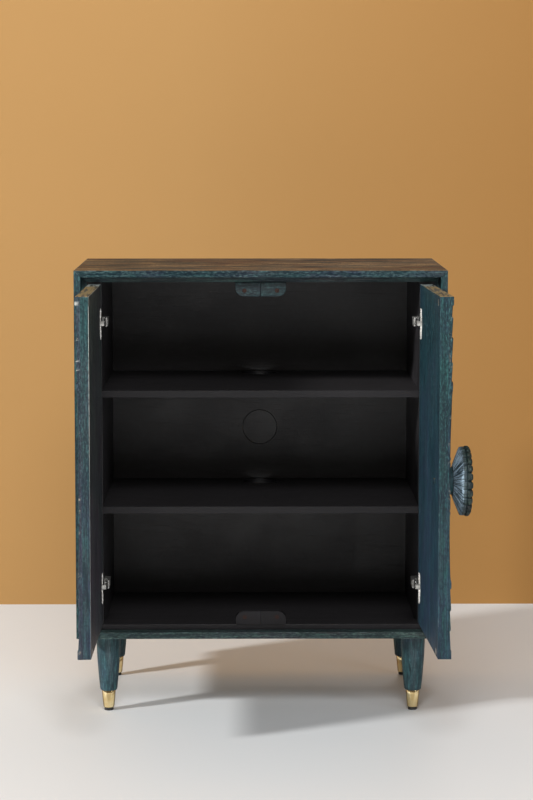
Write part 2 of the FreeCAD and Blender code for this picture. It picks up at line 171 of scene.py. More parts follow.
def makeTree(name, kind, inputs, outputs):
    tree = bpy.data.node_groups.new(name, kind)
    for label, socketKind, value in inputs:
        socket = tree.interface.new_socket(name=label, in_out="INPUT", socket_type=socketKind)
        if value is not None:
            socket.default_value = value
    for label, socketKind in outputs:
        tree.interface.new_socket(name=label, in_out="OUTPUT", socket_type=socketKind)
    return tree, tree.nodes.new("NodeGroupInput").outputs, tree.nodes.new("NodeGroupOutput").inputs


def floats(names):
    return [(name, "NodeSocketFloat", None) for name in names]


def position(tree):
    return apart(addNode(tree, "GeometryNodeInputPosition").outputs[0])


def makeShapeTree(name, inputs):
    tree, given, result = makeTree(name, "GeometryNodeTree", inputs, [("Geometry", "NodeSocketGeometry")])
    tree.is_modifier = True
    return tree, given, result["Geometry"]


def storeValues(tree, geometry, values):
    for name, value in values.items():
        kind = "FLOAT_VECTOR" if value.type == "VECTOR" else "FLOAT"
        inputs = {"Geometry": geometry, "Name": name, "Value": value}
        geometry = addNode(tree, "GeometryNodeStoreNamedAttribute", inputs, data_type=kind,
                           domain="POINT").outputs[0]
    return geometry


def finishTree(tree, geometry, material, result):
    realized = addNode(tree, "GeometryNodeRealizeInstances", {"Geometry": geometry}).outputs[0]
    finished = addNode(tree, "GeometryNodeSetMaterial",
                       {"Geometry": realized, "Material": material}).outputs[0]
    tree.links.new(finished, result)
    return tree


# Effects that several finishes share

def makeGrain():
    # the wood's length runs along X of the vector that comes in
    tree, given, result = makeTree("Wood Grain", "ShaderNodeTree", [
        ("Vector", "NodeSocketVector", None),
        ("Rings per Metre", "NodeSocketFloat", 70.0),
        ("Waviness", "NodeSocketFloat", 0.03),
        ("Fibre Scale", "NodeSocketFloat", 420.0),
        ("Pore Scale", "NodeSocketFloat", 300.0),
    ], [("Rings", "NodeSocketFloat"), ("Fibres", "NodeSocketFloat"), ("Pores", "NodeSocketFloat")])
    vector = given["Vector"]
    slow = stretch(vector, (1.2, 7.0, 7.0))
    sway = addNode(tree, "ShaderNodeTexNoise",
                   {"Vector": slow, "Scale": 1.3, "Detail": 3.0}).outputs["Color"]
    bent = vectorCalc("SCALE", vectorCalc("SUBTRACT", sway, (0.5, 0.5, 0.5)), scale=given["Waviness"])
    across = stretch(vectorCalc("ADD", vector, bent), (0.06, 1.0, 1.0))
    turns = vectorCalc("LENGTH", across) * given["Rings per Metre"]
    saw = calc("FRACT", turns)
    late = saw ** 2.2
    fall = ramp(saw, 0.88, 1.0, 1.0, 0.0)
    tree.links.new(late * fall, result["Rings"])
    fine = noise(stretch(vector, (0.03, 1.0, 1.0)), given["Fibre Scale"], 3.0, 0.65)
    tree.links.new(fine, result["Fibres"])
    dashes = noise(stretch(vector, (0.05, 1.0, 1.0)), given["Pore Scale"], 2.0)
    tree.links.new(ramp(dashes, 0.60, 0.68), result["Pores"])
    return tree


def makeMottle():
    tree, given, result = makeTree("Stain Mottle", "ShaderNodeTree", [
        ("Vector", "NodeSocketVector", None),
        ("Scale", "NodeSocketFloat", 7.0),
        ("Low", "NodeSocketFloat", 0.40),
        ("High", "NodeSocketFloat", 0.62),
    ], [("Mottle", "NodeSocketFloat")])
    cloud = noise(given["Vector"], given["Scale"], 5.0, 0.6, 0.4)
    tree.links.new(ramp(cloud, given["Low"], given["High"]), result["Mottle"])
    return tree


def makeWear():
    tree, given, result = makeTree("Rubbed Edges", "ShaderNodeTree", [
        ("Vector", "NodeSocketVector", None),
        ("Edge", "NodeSocketFloat", 0.0),
        ("Amount", "NodeSocketFloat", 0.5),
        ("Scale", "NodeSocketFloat", 55.0),
    ], [("Wear", "NodeSocketFloat")])
    patches = noise(given["Vector"], given["Scale"], 4.0, 0.7)
    reach = 0.85 - given["Amount"] * 0.6
    rubbed = calc("MULTIPLY", patches - reach, 6.0, clamp=True)
    tree.links.new(rubbed * given["Edge"], result["Wear"])
    return tree


grainGroup = makeGrain()
mottleGroup = makeMottle()
wearGroup = makeWear()


def place(tree, group, inputs):
    node = tree.nodes.new("ShaderNodeGroup")
    node.node_tree = group
    for key, value in inputs.items():
        setInput(tree, node.inputs[key], value)
    return node.outputs


def mottle(vector, scale, low, high):
    return place(vector.id_data, mottleGroup,
                 {"Vector": vector, "Scale": scale, "Low": low, "High": high})[0]


def worn(vector, amount):
    tree = vector.id_data
    return place(tree, wearGroup, {"Vector": vector, "Edge": attribute(tree, "edge"), "Amount": amount})[0]


# Finishes

stain = {"deep": (0.004, 0.015, 0.021), "teal": (0.012, 0.052, 0.060), "bright": (0.040, 0.160, 0.160),
         "navy": (0.030, 0.044, 0.088), "grey": (0.060, 0.080, 0.088), "bare": (0.46, 0.42, 0.34),
         # white is a painted highlight
         "rubbed": (0.21, 0.28, 0.29), "highlightWhite": (0.70, 0.72, 0.68), "fleck": (0.055, 0.150, 0.155),
         # the top colours are painted reflection of the warm wall, on faces that turn up
         "reflectedBrown": (0.225, 0.122, 0.044), "reflectedRed": (0.205, 0.088, 0.032),
         "topDark": (0.020, 0.020, 0.014), "reflectedTan": (0.380, 0.235, 0.098)}
inside = {"black": (0.0138, 0.0130, 0.0148), "charcoal": (0.033, 0.0305, 0.0350),
          "dust": (0.034, 0.032, 0.034), "width": 0.3895, "floor": 0.1925, "ceiling": 1.0025, "front": -0.222}
# how far a face has to turn towards up or sideways before its tint starts and is full
facing = {"up": (0.75, 0.97), "side": (0.70, 0.97)}


def newMaterial(name):
    material = bpy.data.materials.new(name)
    material.use_nodes = True
    tree = material.node_tree
    return material, tree, tree.nodes["Principled BSDF"].inputs


def boardVector(tree, grainAxis):
    # each board's own number shifts the pattern, so no two boards show the same grain
    where = coordinates(tree)
    number = attribute(tree, "board")
    shift = vectorCalc("SCALE", (0.83, 0.31, 0.47), scale=number)
    moved = vectorCalc("ADD", where, shift)
    turn = (0, math.radians(90), 0) if grainAxis == "Z" else (0, 0, 0)
    return addNode(tree, "ShaderNodeMapping", {"Vector": moved, "Rotation": turn}).outputs[0]


plainLook = {"grainAxis": "Z", "wear": 0.45, "wearColour": "rubbed", "brownTop": 0.0, "navyFoot": 0.0,
             "fleck": 0.80, "ripple": 0.35, "shade": (1.0, 1.0, 1.0), "sideShade": None, "edgeShade": None,
             "doorTop": False, "handled": False}
# each pattern's stretch of the board's axes, scale, and the noise levels at which it starts and is full
woodPatterns = {
    "patch": ((1.0, 1.0, 1.0), 5.0, 0.42, 0.60),
    "streak": ((0.16, 1.0, 1.0), 120.0, 0.50, 0.68),
    "haze": ((0.16, 1.0, 1.0), 38.0, 0.46, 0.70),
    "ripple": ((1.0, 0.12, 0.12), 260.0, 0.50, 0.72),
    "band": ((0.30, 1.0, 1.0), 30.0, 0.46, 0.60),
    "shadow": ((0.30, 1.0, 1.0), 19.0, 0.46, 0.60),
}
woodSpecks = {"way": (0.36, 1.0, 1.0), "scale": 300.0}
# heights between which the navy of the foot fades out, and the specks grow to their full strength
navyHeights = (0.25, 0.95)
calmHeights = (0.30, 0.80)
calmShare = 0.6
# patterns laid over a colour one after the other: pattern, share and stain
stainLayers = (("band", 0.28, "bright"), ("shadow", 0.55, "deep"), ("haze", 0.45, "grey"),
               ("streak", 0.55, "bright"))
reflectionLayers = (("band", 0.9, "reflectedTan"), ("shadow", 0.8, "topDark"), ("haze", 0.35, "teal"))
# heights on the door between which the painted highlight along its arris grows and fades, and its shares above and
# below
handled = {"top": 0.966, "topStart": 0.962, "full": 0.76, "end": 0.55, "above": 0.25, "below": 0.30}
doorTop = {"olive": (0.150, 0.112, 0.036), "dark": (0.014, 0.015, 0.009), "tan": (0.330, 0.200, 0.060),
           "paintedSheen": (0.200, 0.235, 0.235), "tanEnd": -0.600, "tanStart": -0.640, "sheenStart": -0.335,
           "sheenEnd": -0.300}


def doorTopColour(where, depth):
    # painted reflection on the door tops: tan at the free end, olive with dark lines along it, and a painted pale
    # sheen at the hinges
    ends = stretch(where, (1.0, 0.09, 1.0))
    lines = ramp(noise(ends, 140.0, 2.0, 0.6), 0.42, 0.52, 0.95, 0.0)
    colour = blend(ramp(depth, doorTop["tanStart"], doorTop["tanEnd"]), doorTop["tan"], doorTop["olive"])
    colour = blend(ramp(depth, doorTop["sheenStart"], doorTop["sheenEnd"]), colour, doorTop["paintedSheen"])
    return blend(lines, colour, doorTop["dark"])


def layered(colour, pattern, layers):
    for name, share, tone in layers:
        colour = blend(pattern[name] * share, colour, stain[tone])
    return colour


def stainedLook(tree, look):
    # returns the colour, the roughness and the height of blue-green stained wood
    vector = boardVector(tree, look["grainAxis"])
    grain = place(tree, grainGroup, {"Vector": vector})
    pattern = {name: mottle(stretch(vector, way), scale, low, high)
               for name, (way, scale, low, high) in woodPatterns.items()}
    speck = noise(stretch(vector, woodSpecks["way"]), woodSpecks["scale"], 3.0, 0.75)
    where = coordinates(tree)
    spot = apart(where)
    foot = ramp(spot["Z"], *navyHeights, look["navyFoot"], 0.0)
    mottled = ramp(spot["Z"], *calmHeights, 1.0 - calmShare * look["navyFoot"], 1.0) * look["fleck"]
    navy = calc("ADD", pattern["patch"] * 0.55, foot, clamp=True)
    base = layered(blend(navy, stain["teal"], stain["navy"]), pattern, stainLayers)
    base = blend(ramp(speck, 0.52, 0.61) * mottled, base, stain["fleck"])
    base = blend(ramp(speck, 0.39, 0.48, 1.0, 0.0) * mottled, base, stain["deep"])
    base = blend(grain["Rings"] * 0.55, base, stain["deep"])
    fibre = ramp(grain["Fibres"], 0.38, 0.62)
    base = blend(ramp(fibre, 0.0, 1.0, 0.52, 0.0), base, stain["deep"])
    base = blend(pattern["ripple"] * look["ripple"], base, stain["deep"])
    base = blend(1.0, base, look["shade"], "MULTIPLY")
    normal = apart(coordinates(tree, "Normal"))
    upward = normal["Z"]
    # painted light and shade: the first tint goes on faces turned along X, the door boards' inner faces, neutral
    # on the shaded left door and darker and bluer on the right; the second goes on the free edges
    for axis, tint in (("X", look["sideShade"]), ("Y", look["edgeShade"])):
        if tint:
            turned = ramp(abs(normal[axis]), *facing["side"])
            base = blend(turned, base, tint, "MULTIPLY")
    # painted reflection: faces that turn up take a brown, for the warm wall reflected in them, with dark grain
    # lines over it; door tops take their own painted colours
    if look["brownTop"] > 0:
        brown = layered(blend(pattern["patch"], stain["reflectedBrown"], stain["reflectedRed"]), pattern, reflectionLayers)
        lines = calc("MAXIMUM", grain["Rings"] * 0.85, pattern["streak"] * 0.7)
        brown = blend(lines, brown, stain["topDark"])
        brown = blend(ramp(speck, 0.38, 0.50, 0.8, 0.0), brown, stain["topDark"])
        brown = blend(ramp(fibre, 0.0, 1.0, 0.55, 0.0), brown, stain["topDark"])
        if look["doorTop"]:
            brown = doorTopColour(where, spot["Y"])
        base = blend(ramp(upward, *facing["up"], 0.0, look["brownTop"]), base, brown)
    base = blend(grain["Pores"] * 0.7, base, stain["deep"])
    # painted shade: the carving's and the knob's hollows are darkened
    groove = attribute(tree, "groove")
    base = blend(groove * 0.80, base, stain["deep"])
    wear = worn(vector, look["wear"])
    base = blend(wear * 0.8, base, stain[look["wearColour"]])
    # painted highlights: white glints on the marked arris points, broken up by specks
    rubbed = attribute(tree, "paintedGlint") * ramp(speck, 0.36, 0.50, 0.45, 1.0)
    if look["handled"]:
        # painted highlight along the arris, strongest in the upper part of the door
        rubbed *= ramp(spot["Z"], handled["end"], handled["full"], handled["below"], 1.0)
        rubbed *= ramp(spot["Z"], handled["topStart"], handled["top"], 1.0, handled["above"])
    base = blend(rubbed, base, stain["highlightWhite"])
    rough = ramp(fibre, 0.0, 1.0, 0.56, 0.44) + pattern["patch"] * 0.08
    rough += ramp(upward, *facing["up"], 0.0, 0.30)
    height = fibre * 0.5 - grain["Pores"] * 0.7
    height -= grain["Rings"] * 0.25
    height += pattern["ripple"] * 0.2
    return base, rough, height


def blackLook(tree, grainAxis, wearAmount, paleness):
    vector = boardVector(tree, grainAxis)
    grain = place(tree, grainGroup, {"Vector": vector})
    cloud = mottle(vector, 6.0, 0.34, 0.68)
    dust = mottle(vector, 60.0, 0.42, 0.72)
    fibre = ramp(grain["Fibres"], 0.35, 0.68)
    tone = cloud * 0.7 + dust * 0.3
    base = blend(tone * paleness, inside["black"], inside["charcoal"])
    base = blend(ramp(fibre, 0.0, 1.0, 0.30, 0.0), base, inside["black"])
    upward = apart(coordinates(tree, "Normal"))["Z"]
    # paler on faces that turn up: dust, and painted light on the tops
    base = blend(ramp(upward, *facing["side"], 0.0, 0.7), base, inside["dust"])
    wear = worn(vector, wearAmount)
    base = blend(wear * 0.5, base, stain["grey"])
    rough = 0.38 + cloud * 0.10
    height = fibre * 0.4 - grain["Pores"] * 0.5
    return base, rough, height


def connect(tree, shader, look, depth, strength=1.0, gloss=0.5):
    base, rough, height = look
    bump = addNode(tree, "ShaderNodeBump", {"Height": height, "Distance": depth, "Strength": strength})
    for name, value in (("Base Color", base), ("Roughness", rough), ("Normal", bump.outputs[0]),
                        ("Specular IOR Level", gloss)):
        setInput(tree, shader[name], value)


def twoLooks(factor, first, second):
    base = blend(factor, first[0], second[0])
    rough = line(factor, 0.0, 1.0, first[1], second[1])
    height = line(factor, 0.0, 1.0, first[2], second[2])
    return base, rough, height


def makeStained(name, gloss=0.32, **changes):
    material, tree, shader = newMaterial(name)
    connect(tree, shader, stainedLook(tree, {**plainLook, **changes}), 0.00024, gloss=gloss)
    return material


def makeBlack(name, grainAxis, wearAmount=0.3, paleness=1.0, gloss=0.5):
    material, tree, shader = newMaterial(name)
    connect(tree, shader, blackLook(tree, grainAxis, wearAmount, paleness), 0.00015, gloss=gloss)
    return material


def makeCaseFinish(name, grainAxis, gloss, **changes):
    # stained outside, and black where a board faces the inside of the case
    material, tree, shader = newMaterial(name)
    spot = apart(coordinates(tree))
    within = calc("LESS_THAN", abs(spot["X"]), inside["width"]) * calc("GREATER_THAN", spot["Y"],
                                                                       inside["front"])
    within *= calc("GREATER_THAN", spot["Z"], inside["floor"])
    within *= calc("LESS_THAN", spot["Z"], inside["ceiling"])
    stained = stainedLook(tree, {**plainLook, "grainAxis": grainAxis, "wear": 0.6, **changes})
    black = blackLook(tree, grainAxis, 0.3, 0.6)
    connect(tree, shader, twoLooks(within, stained, black), 0.00022, gloss=gloss)
    return material


post = {"stripEdge": 0.3915}
# painted light on the knob's back: a lighter, bluer colour and streaks of painted highlight
knobLook = {"shade": (1.30, 0.70, 0.55), "dark": (0.042, 0.070, 0.095), "paintedHighlight": (0.56, 0.75, 0.92),
            "low": 0.45, "high": 0.54}


def makePostFinish():
    # the strip beside the case is stained blue-green, and the rest of the post is black
    material, tree, shader = newMaterial("post finish")
    outer = calc("GREATER_THAN", abs(apart(coordinates(tree))["X"]), post["stripEdge"])
    stained = stainedLook(tree, {**plainLook, "wear": 0.35})
    black = blackLook(tree, "Z", 0.2, 0.5)
    connect(tree, shader, twoLooks(outer, black, stained), 0.0002)
    return material


def makeKnobFinish():
    # painted light: the back is painted lighter and bluer, with painted highlights along fine lines that run out
    # from the middle
    material, tree, shader = newMaterial("carved knob with painted light")
    base, rough, height = stainedLook(tree, {**plainLook, "wear": 0.30, "shade": knobLook["shade"]})
    streaks = noise(attribute(tree, "fan", "Vector"), 1.0, 4.0, 0.75)
    onBack = attribute(tree, "chalky")
    base = blend(onBack * 0.9, base, knobLook["dark"])
    paintedSheen = onBack * ramp(streaks, knobLook["low"], knobLook["high"])
    base = blend(paintedSheen, base, knobLook["paintedHighlight"])
    height += paintedSheen * 1.5
    connect(tree, shader, (base, rough, height), 0.00024, gloss=0.2)
    return material


# the middle and edge colours are painted reflection: darker where the brass faces the viewer, much darker towards
# its outline
brassLook = {"bright": (0.97, 0.77, 0.41), "dull": (0.84, 0.62, 0.28), "worn": (0.98, 0.84, 0.54),
             "middle": (0.47, 0.31, 0.115), "edge": (0.20, 0.115, 0.035), "reflectionFacing": 0.55}


def makeBrass():
    material, tree, shader = newMaterial("turned brass")
    where = coordinates(tree)
    rings = noise(stretch(where, (1.0, 1.0, 60.0)), 40.0, 3.0, 0.6)
    smear = mottle(where, 60.0, 0.45, 0.70)
    base = blend(smear, brassLook["bright"], brassLook["dull"])
    base = blend(worn(where, 0.7), base, brassLook["worn"])
    # painted reflection: darker where the brass faces the viewer and much darker towards its outline, for the dark
    # surroundings it reflects
    reflectionFacing = addNode(tree, "ShaderNodeLayerWeight", {"Blend": brassLook["reflectionFacing"]}).outputs["Facing"]
    base = blend(ramp(reflectionFacing, 0.03, 0.12, 0.60, 0.0), base, brassLook["middle"])
    base = blend(ramp(reflectionFacing, 0.34, 0.72, 0.0, 0.90), base, brassLook["edge"])
    rough = 0.08 + smear * 0.07
    connect(tree, shader, (base, rough, rings), 0.00002, 0.6)
    shader["Metallic"].default_value = 1.0
    return material


wornMetal = (0.95, 0.95, 0.93)


def makeMetal(name, first, second, rough, metallic=1.0):
    material, tree, shader = newMaterial(name)
    where = coordinates(tree)
    smear = mottle(where, 90.0, 0.40, 0.70)
    scratch = noise(stretch(where, (1.0, 1.0, 0.08)), 1800.0, 2.0)
    base = blend(smear, first, second)
    base = blend(worn(where, 0.8) * 0.6, base, wornMetal)
    rough += smear * 0.12
    connect(tree, shader, (base, rough, scratch), 0.00001, 0.5)
    shader["Metallic"].default_value = metallic
    return material


plasticLook = {"black": (0.014, 0.014, 0.015), "scuffed": (0.045, 0.044, 0.042)}


def makePlastic():
    material, tree, shader = newMaterial("glide plastic")
    where = coordinates(tree)
    scuff = mottle(where, 180.0, 0.45, 0.65)
    base = blend(scuff, plasticLook["black"], plasticLook["scuffed"])
    rough = ramp(scuff, 0.0, 1.0, 0.5, 0.7)
    grit = noise(where, 2500.0, 2.0)
    connect(tree, shader, (base, rough, grit), 0.00004, 0.5)
    return material


finishes = {
    "caseTop": makeCaseFinish("stained top board", "X", 0.05, brownTop=1.0, shade=(1.8, 1.06, 1.04)),
    "caseAcross": makeCaseFinish("stained case across", "X", 0.30, shade=(1.85, 1.08, 0.92)),
    "caseUp": makeCaseFinish("stained case upright", "Z", 0.32),
    "stainRail": makeStained("stained rail wood", 0.30, grainAxis="X", wear=0.1, fleck=0.2,
                             shade=(1.90, 1.15, 1.03)),
    "stainLeftDoor": makeStained("stained left door board", 0.26, wear=0.5, brownTop=0.95, doorTop=True,
                                 navyFoot=0.9, edgeShade=(0.95, 0.87, 0.86), sideShade=(2.25, 0.95, 0.82),
                                 handled=True),
    "stainRightDoor": makeStained("stained right door board", 0.26, wear=0.45, brownTop=0.95, doorTop=True,
                                  navyFoot=0.8, edgeShade=(0.72, 0.84, 0.80), sideShade=(0.68, 0.76, 0.90)),
    "stainLeftCarved": makeStained("stained left carved wood", 0.26, wear=0.42, wearColour="bare",
                                   brownTop=0.95, doorTop=True, navyFoot=0.8,
                                   edgeShade=(1.45, 0.82, 0.95)),
    "stainRightCarved": makeStained("stained right carved wood", 0.26, wear=0.42, wearColour="bare",
                                    brownTop=0.95, doorTop=True, navyFoot=0.8,
                                    edgeShade=(0.90, 0.90, 0.92)),
    "stainKnob": makeKnobFinish(),
    "stainLeg": makeStained("stained turned wood", wear=0.3, fleck=0.25, shade=(2.1, 1.60, 1.65)),
    "stainBlock": makeStained("stained block wood", grainAxis="X", wear=0.4, shade=(0.72, 0.55, 0.55)),
    "post": makePostFinish(),
    "blackAcross": makeBlack("black wood across", "X"),
    # painted light: the upright black wood is paler, for the light on the linings
    "blackUp": makeBlack("black wood upright", "Z", 0.3, 3.0),
    "blackShelf": makeBlack("black shelf wood", "X", 0.4, 0.10, 0.25),
    "blackBlock": makeBlack("black block wood", "X", 0.5, 0.5, 0.20),
    "brass": makeBrass(),
    "nickel": makeMetal("nickel plate", (0.42, 0.415, 0.40), (0.30, 0.30, 0.29), 0.30, 0.75),
    "flange": makeMetal("bright plate", (0.90, 0.88, 0.83), (0.82, 0.80, 0.76), 0.42, 0.25),
    "zinc": makeMetal("zinc plate", (0.62, 0.61, 0.60), (0.45, 0.45, 0.44), 0.34),
    "magnet": makeMetal("dark magnet", (0.060, 0.035, 0.030), (0.030, 0.020, 0.018), 0.50),
    "plastic": makePlastic(),
}
# every other finish is on stained wood
print("finishes made,", len(finishes))


# Door positions: the frame's rest has the doors open

def turnAbout(joint, degrees):
    pivot = Vector(joint["pos_m"])
    turn = Matrix.Rotation(math.radians(degrees), 4, Vector(joint["axis"]))
    return Matrix.Translation(pivot) @ turn @ Matrix.Translation(-pivot)


def closingMove(side):
    door = joints[side + "_door_hinge"]
    link = joints[side + "_link_hinge"]
    ratio = next(c["ratio"] for c in couplings if c["joint"] == link["name"])
    swing = door["range_deg"][1]
    return turnAbout(link, swing * ratio) @ turnAbout(door, swing)


closing = {side: closingMove(side) for side in ("left", "right")}
opening = {side: closing[side].inverted() for side in closing}


def boxOf(spots):
    low = Vector([min(spot[axis] for spot in spots) for axis in range(3)])
    high = Vector([max(spot[axis] for spot in spots) for axis in range(3)])
    return low, high


def boxAfter(node, move):
    return boxOf([move @ vertex.co for vertex in frame["nodes"][node].data.vertices])


def backOf(low, high):
    return Vector(((low.x + high.x) / 2, high.y, (low.z + high.z) / 2))


# Making and finishing pieces

boardNumbers = itertools.count(1)
weldDistance = 0.00001
sharpAngle = 0.6


def finishPiece(piece, body, finish, replaced):
    mesh = piece.data
    mesh.materials.clear()
    mesh.materials.append(finishes[finish])
    number = mesh.attributes.new("board", "FLOAT", "POINT")
    number.data.foreach_set("value", [float(next(boardNumbers))] * len(mesh.vertices))
    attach(piece, body)
    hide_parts(*replaced)


def newPiece(name, mesh):
    piece = bpy.data.objects.new(name, mesh)
    scene.collection.objects.link(piece)
    return piece


def meshFrom(name, shape):
    mesh = bpy.data.meshes.new(name)
    shape.to_mesh(mesh)
    shape.free()
    return mesh


def markCreases(shape, crease):
    for edge in shape.edges:
        if len(edge.link_faces) == 2 and edge.calc_face_angle(0) > crease:
            edge.smooth = False


def shadeByShape(shape, roundedFaces, crease=0.45):
    # flat faces stay flat, and rounded edges and turned faces are smooth
    shape.normal_update()
    for face in shape.faces:
        curved = face in roundedFaces
        for edge in face.edges:
            if len(edge.link_faces) == 2 and not curved:
                other = [f for f in edge.link_faces if f is not face][0]
                if other not in roundedFaces and 0.01 < edge.calc_face_angle(0) < crease:
                    curved = True
        face.smooth = curved
    markCreases(shape, crease)


def softCopy(node, rounding, shortest=0.012, segments=3, staysSharp=None):
    # the CAD piece with its long sharp edges rounded, and the ridges marked for wear
    shape = bmesh.new()
    shape.from_mesh(frame["nodes"][node].data)
    bmesh.ops.remove_doubles(shape, verts=shape.verts, dist=weldDistance)
    bmesh.ops.dissolve_limit(shape, angle_limit=math.radians(0.6), verts=shape.verts, edges=shape.edges)
    sharp = [edge for edge in shape.edges if len(edge.link_faces) == 2
             and edge.calc_face_angle(0) > sharpAngle and edge.calc_length() > shortest]
    if staysSharp:
        sharp = [edge for edge in sharp if not all(staysSharp(vertex.co) for vertex in edge.verts)]
    made = bmesh.ops.bevel(shape, geom=sharp, offset=rounding, offset_type="OFFSET", segments=segments,
                           profile=0.5, affect="EDGES", clamp_overlap=True)
    rounded = set(made["faces"])
    ridge = shape.verts.layers.float.new("edge")
    for vertex in shape.verts:
        if vertex.link_faces and all(face in rounded for face in vertex.link_faces):
            vertex[ridge] = 1.0
    shadeByShape(shape, rounded)
    return newPiece(node + "_shaped", meshFrom(node, shape))


def lathe(profile, segments, centre, name, edgeRows=()):
    # the profile is a list of radius and height, from the bottom's middle to the top's middle
    shape = bmesh.new()
    ridge = shape.verts.layers.float.new("edge")
    rows = []
    for index, (radius, height) in enumerate(profile):
        count = segments if radius > 0 else 1
        row = []
        for step in range(count):
            turn = 2 * math.pi * step / segments
            x = centre[0] + radius * math.cos(turn)
            y = centre[1] + radius * math.sin(turn)
            vertex = shape.verts.new((x, y, height))
            vertex[ridge] = 1.0 if index in edgeRows else 0.0
            row.append(vertex)
        rows.append(row)
    for lower, upper in zip(rows[:-1], rows[1:]):
        for step in range(segments):
            after = (step + 1) % segments
            ring = [lower[step % len(lower)], lower[after % len(lower)],
                    upper[after % len(upper)], upper[step % len(upper)]]
            shape.faces.new(list(dict.fromkeys(ring)))
    bmesh.ops.recalc_face_normals(shape, faces=shape.faces)
    markCreases(shape, sharpAngle)
    for face in shape.faces:
        face.smooth = True
    return newPiece(name, meshFrom(name, shape))


def growMesh(tree, name, values, points=None):
    holder = bpy.data.objects.new(name, points or bpy.data.meshes.new(name))
    modifier = holder.modifiers.new(name, "NODES")
    modifier.node_group = tree
    for item in tree.interface.items_tree:
        if item.in_out == "INPUT" and item.name in values:
            modifier[item.identifier] = values[item.name]
    scene.collection.objects.link(holder)
    bpy.context.view_layer.update()
    grown = bpy.data.meshes.new_from_object(holder.evaluated_get(bpy.context.evaluated_depsgraph_get()))
    holder.modifiers.clear()
    bpy.data.objects.remove(holder)
    return grown


# Case boards, frame, shelves and blocks

# each row: nodes, finish, rounding, and the shortest edge that is rounded
caseBoards = (
    (("top_board",), "caseTop", 0.0010, 0.012),
    (("top_rail",), "stainRail", 0.0010, 0.012),
    (("bottom_board", "bottom_rail"), "caseAcross", 0.0010, 0.012),
    (("left_side_board", "right_side_board"), "caseUp", 0.0010, 0.012),
    (("left_front_post", "right_front_post"), "post", 0.0006, 0.012),
    (("upper_shelf", "lower_shelf"), "blackShelf", 0.0006, 0.012),
    (("left_side_lining", "right_side_lining"), "blackUp", 0.0006, 0.012),
    (("left_upper_stop_block", "right_upper_stop_block"), "stainBlock", 0.0012, 0.001),
    (("left_lower_stop_block", "right_lower_stop_block"), "blackBlock", 0.0012, 0.001),
    (("cable_hole_cover",), "blackAcross", 0.0005, 0.0001),
)


def makeCase():
    for nodes, finish, rounding, shortest in caseBoards:
        for node in nodes:
            finishPiece(softCopy(node, rounding, shortest), "cabinet", finish, [node])
    print("case boards rounded")


# Legs, ferrules and glides

legs = {"waistHeight": 0.052, "waistRadius": 0.0198, "belly": 0.0016, "shoulderRows": 8, "bodyRows": 26,
        "segments": 96, "ferruleBottomRadius": 0.0125, "ferruleWall": 0.0012, "ferruleBelly": 0.0004,
        "ferruleRounding": 0.0007, "ferruleDepth": 0.003, "tenon": 0.004, "softShare": 0.3,
        "glideRadius": 0.0105, "glideRounding": 0.0012, "glideSegments": 48}


def legProfile(foot, top, neckRadius, topRadius):
    tenonRadius = neckRadius - legs["ferruleWall"]
    profile = [(0, foot - legs["tenon"]), (tenonRadius, foot - legs["tenon"]), (tenonRadius, foot)]
    rows = legs["shoulderRows"]
    for step in range(rows + 1):
        swing = math.pi / 2 * step / rows
        radius = neckRadius + (legs["waistRadius"] - neckRadius) * math.sin(swing)
        profile.append((radius, foot + (legs["waistHeight"] - foot) * (1 - math.cos(swing))))
    for step in range(1, legs["bodyRows"]):
        share = step / (legs["bodyRows"] - 1)
        radius = legs["waistRadius"] + (topRadius - legs["waistRadius"]) * share
        radius += legs["belly"] * 4 * share * (1 - share)
        profile.append((radius, legs["waistHeight"] + (top - legs["waistHeight"]) * share))
    profile.append((0, top))
    return profile


def ferruleProfile(low, high, radius):
    wall = legs["ferruleWall"]
    soft = legs["ferruleRounding"]
    part = soft * legs["softShare"]
    bottom = legs["ferruleBottomRadius"]
    sunk = high - legs["ferruleDepth"]
    return [(0, low), (bottom - soft, low), (bottom - part, low + part), (bottom, low + soft),
            ((bottom + radius) / 2 + legs["ferruleBelly"], (low + high) / 2),
            (radius, high - soft), (radius - part, high - part), (radius - soft, high),
            (radius - wall, high), (radius - wall, sunk), (0, sunk)]


def makeLegs():
    glideMeshes = []
    for corner in ("front_left", "front_right", "back_left", "back_right"):
        node = corner + "_leg"
        low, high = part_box(node)
        centre = ((low.x + high.x) / 2, (low.y + high.y) / 2)
        ferruleLow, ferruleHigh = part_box(node + "_ferrule")
        neck = (ferruleHigh.x - ferruleLow.x) / 2
        profile = legProfile(ferruleHigh.z, high.z, neck, (high.x - low.x) / 2)
        leg = lathe(profile, legs["segments"], centre, node + "_turned")
        finishPiece(leg, "cabinet", "stainLeg", [node])
        profile = ferruleProfile(ferruleLow.z, ferruleHigh.z, neck)
        tip = lathe(profile, legs["segments"], centre, node + "_tip", edgeRows=(2, 3, 5, 6))
        finishPiece(tip, "cabinet", "brass", [node + "_ferrule"])
        radius = legs["glideRadius"]
        soft = legs["glideRounding"]
        top = ferruleLow.z
        disc = [(0, 0), (radius - soft, 0), (radius, soft), (radius, top - soft), (radius - soft, top),
                (0, top)]
        glideMeshes.append(lathe(disc, legs["glideSegments"], centre, corner + "_glide"))
    finishPiece(joinPieces(glideMeshes, "glides"), "cabinet", "plastic", ["foot_glides"])
    print("legs turned")


def joinPieces(pieces, name):
    shape = bmesh.new()
    for piece in pieces:
        shape.from_mesh(piece.data)
        bpy.data.objects.remove(piece)
    return newPiece(name, meshFrom(name, shape))


# Carved door fronts: a sunburst of flutes in a shallow dish, with rows of scales round it

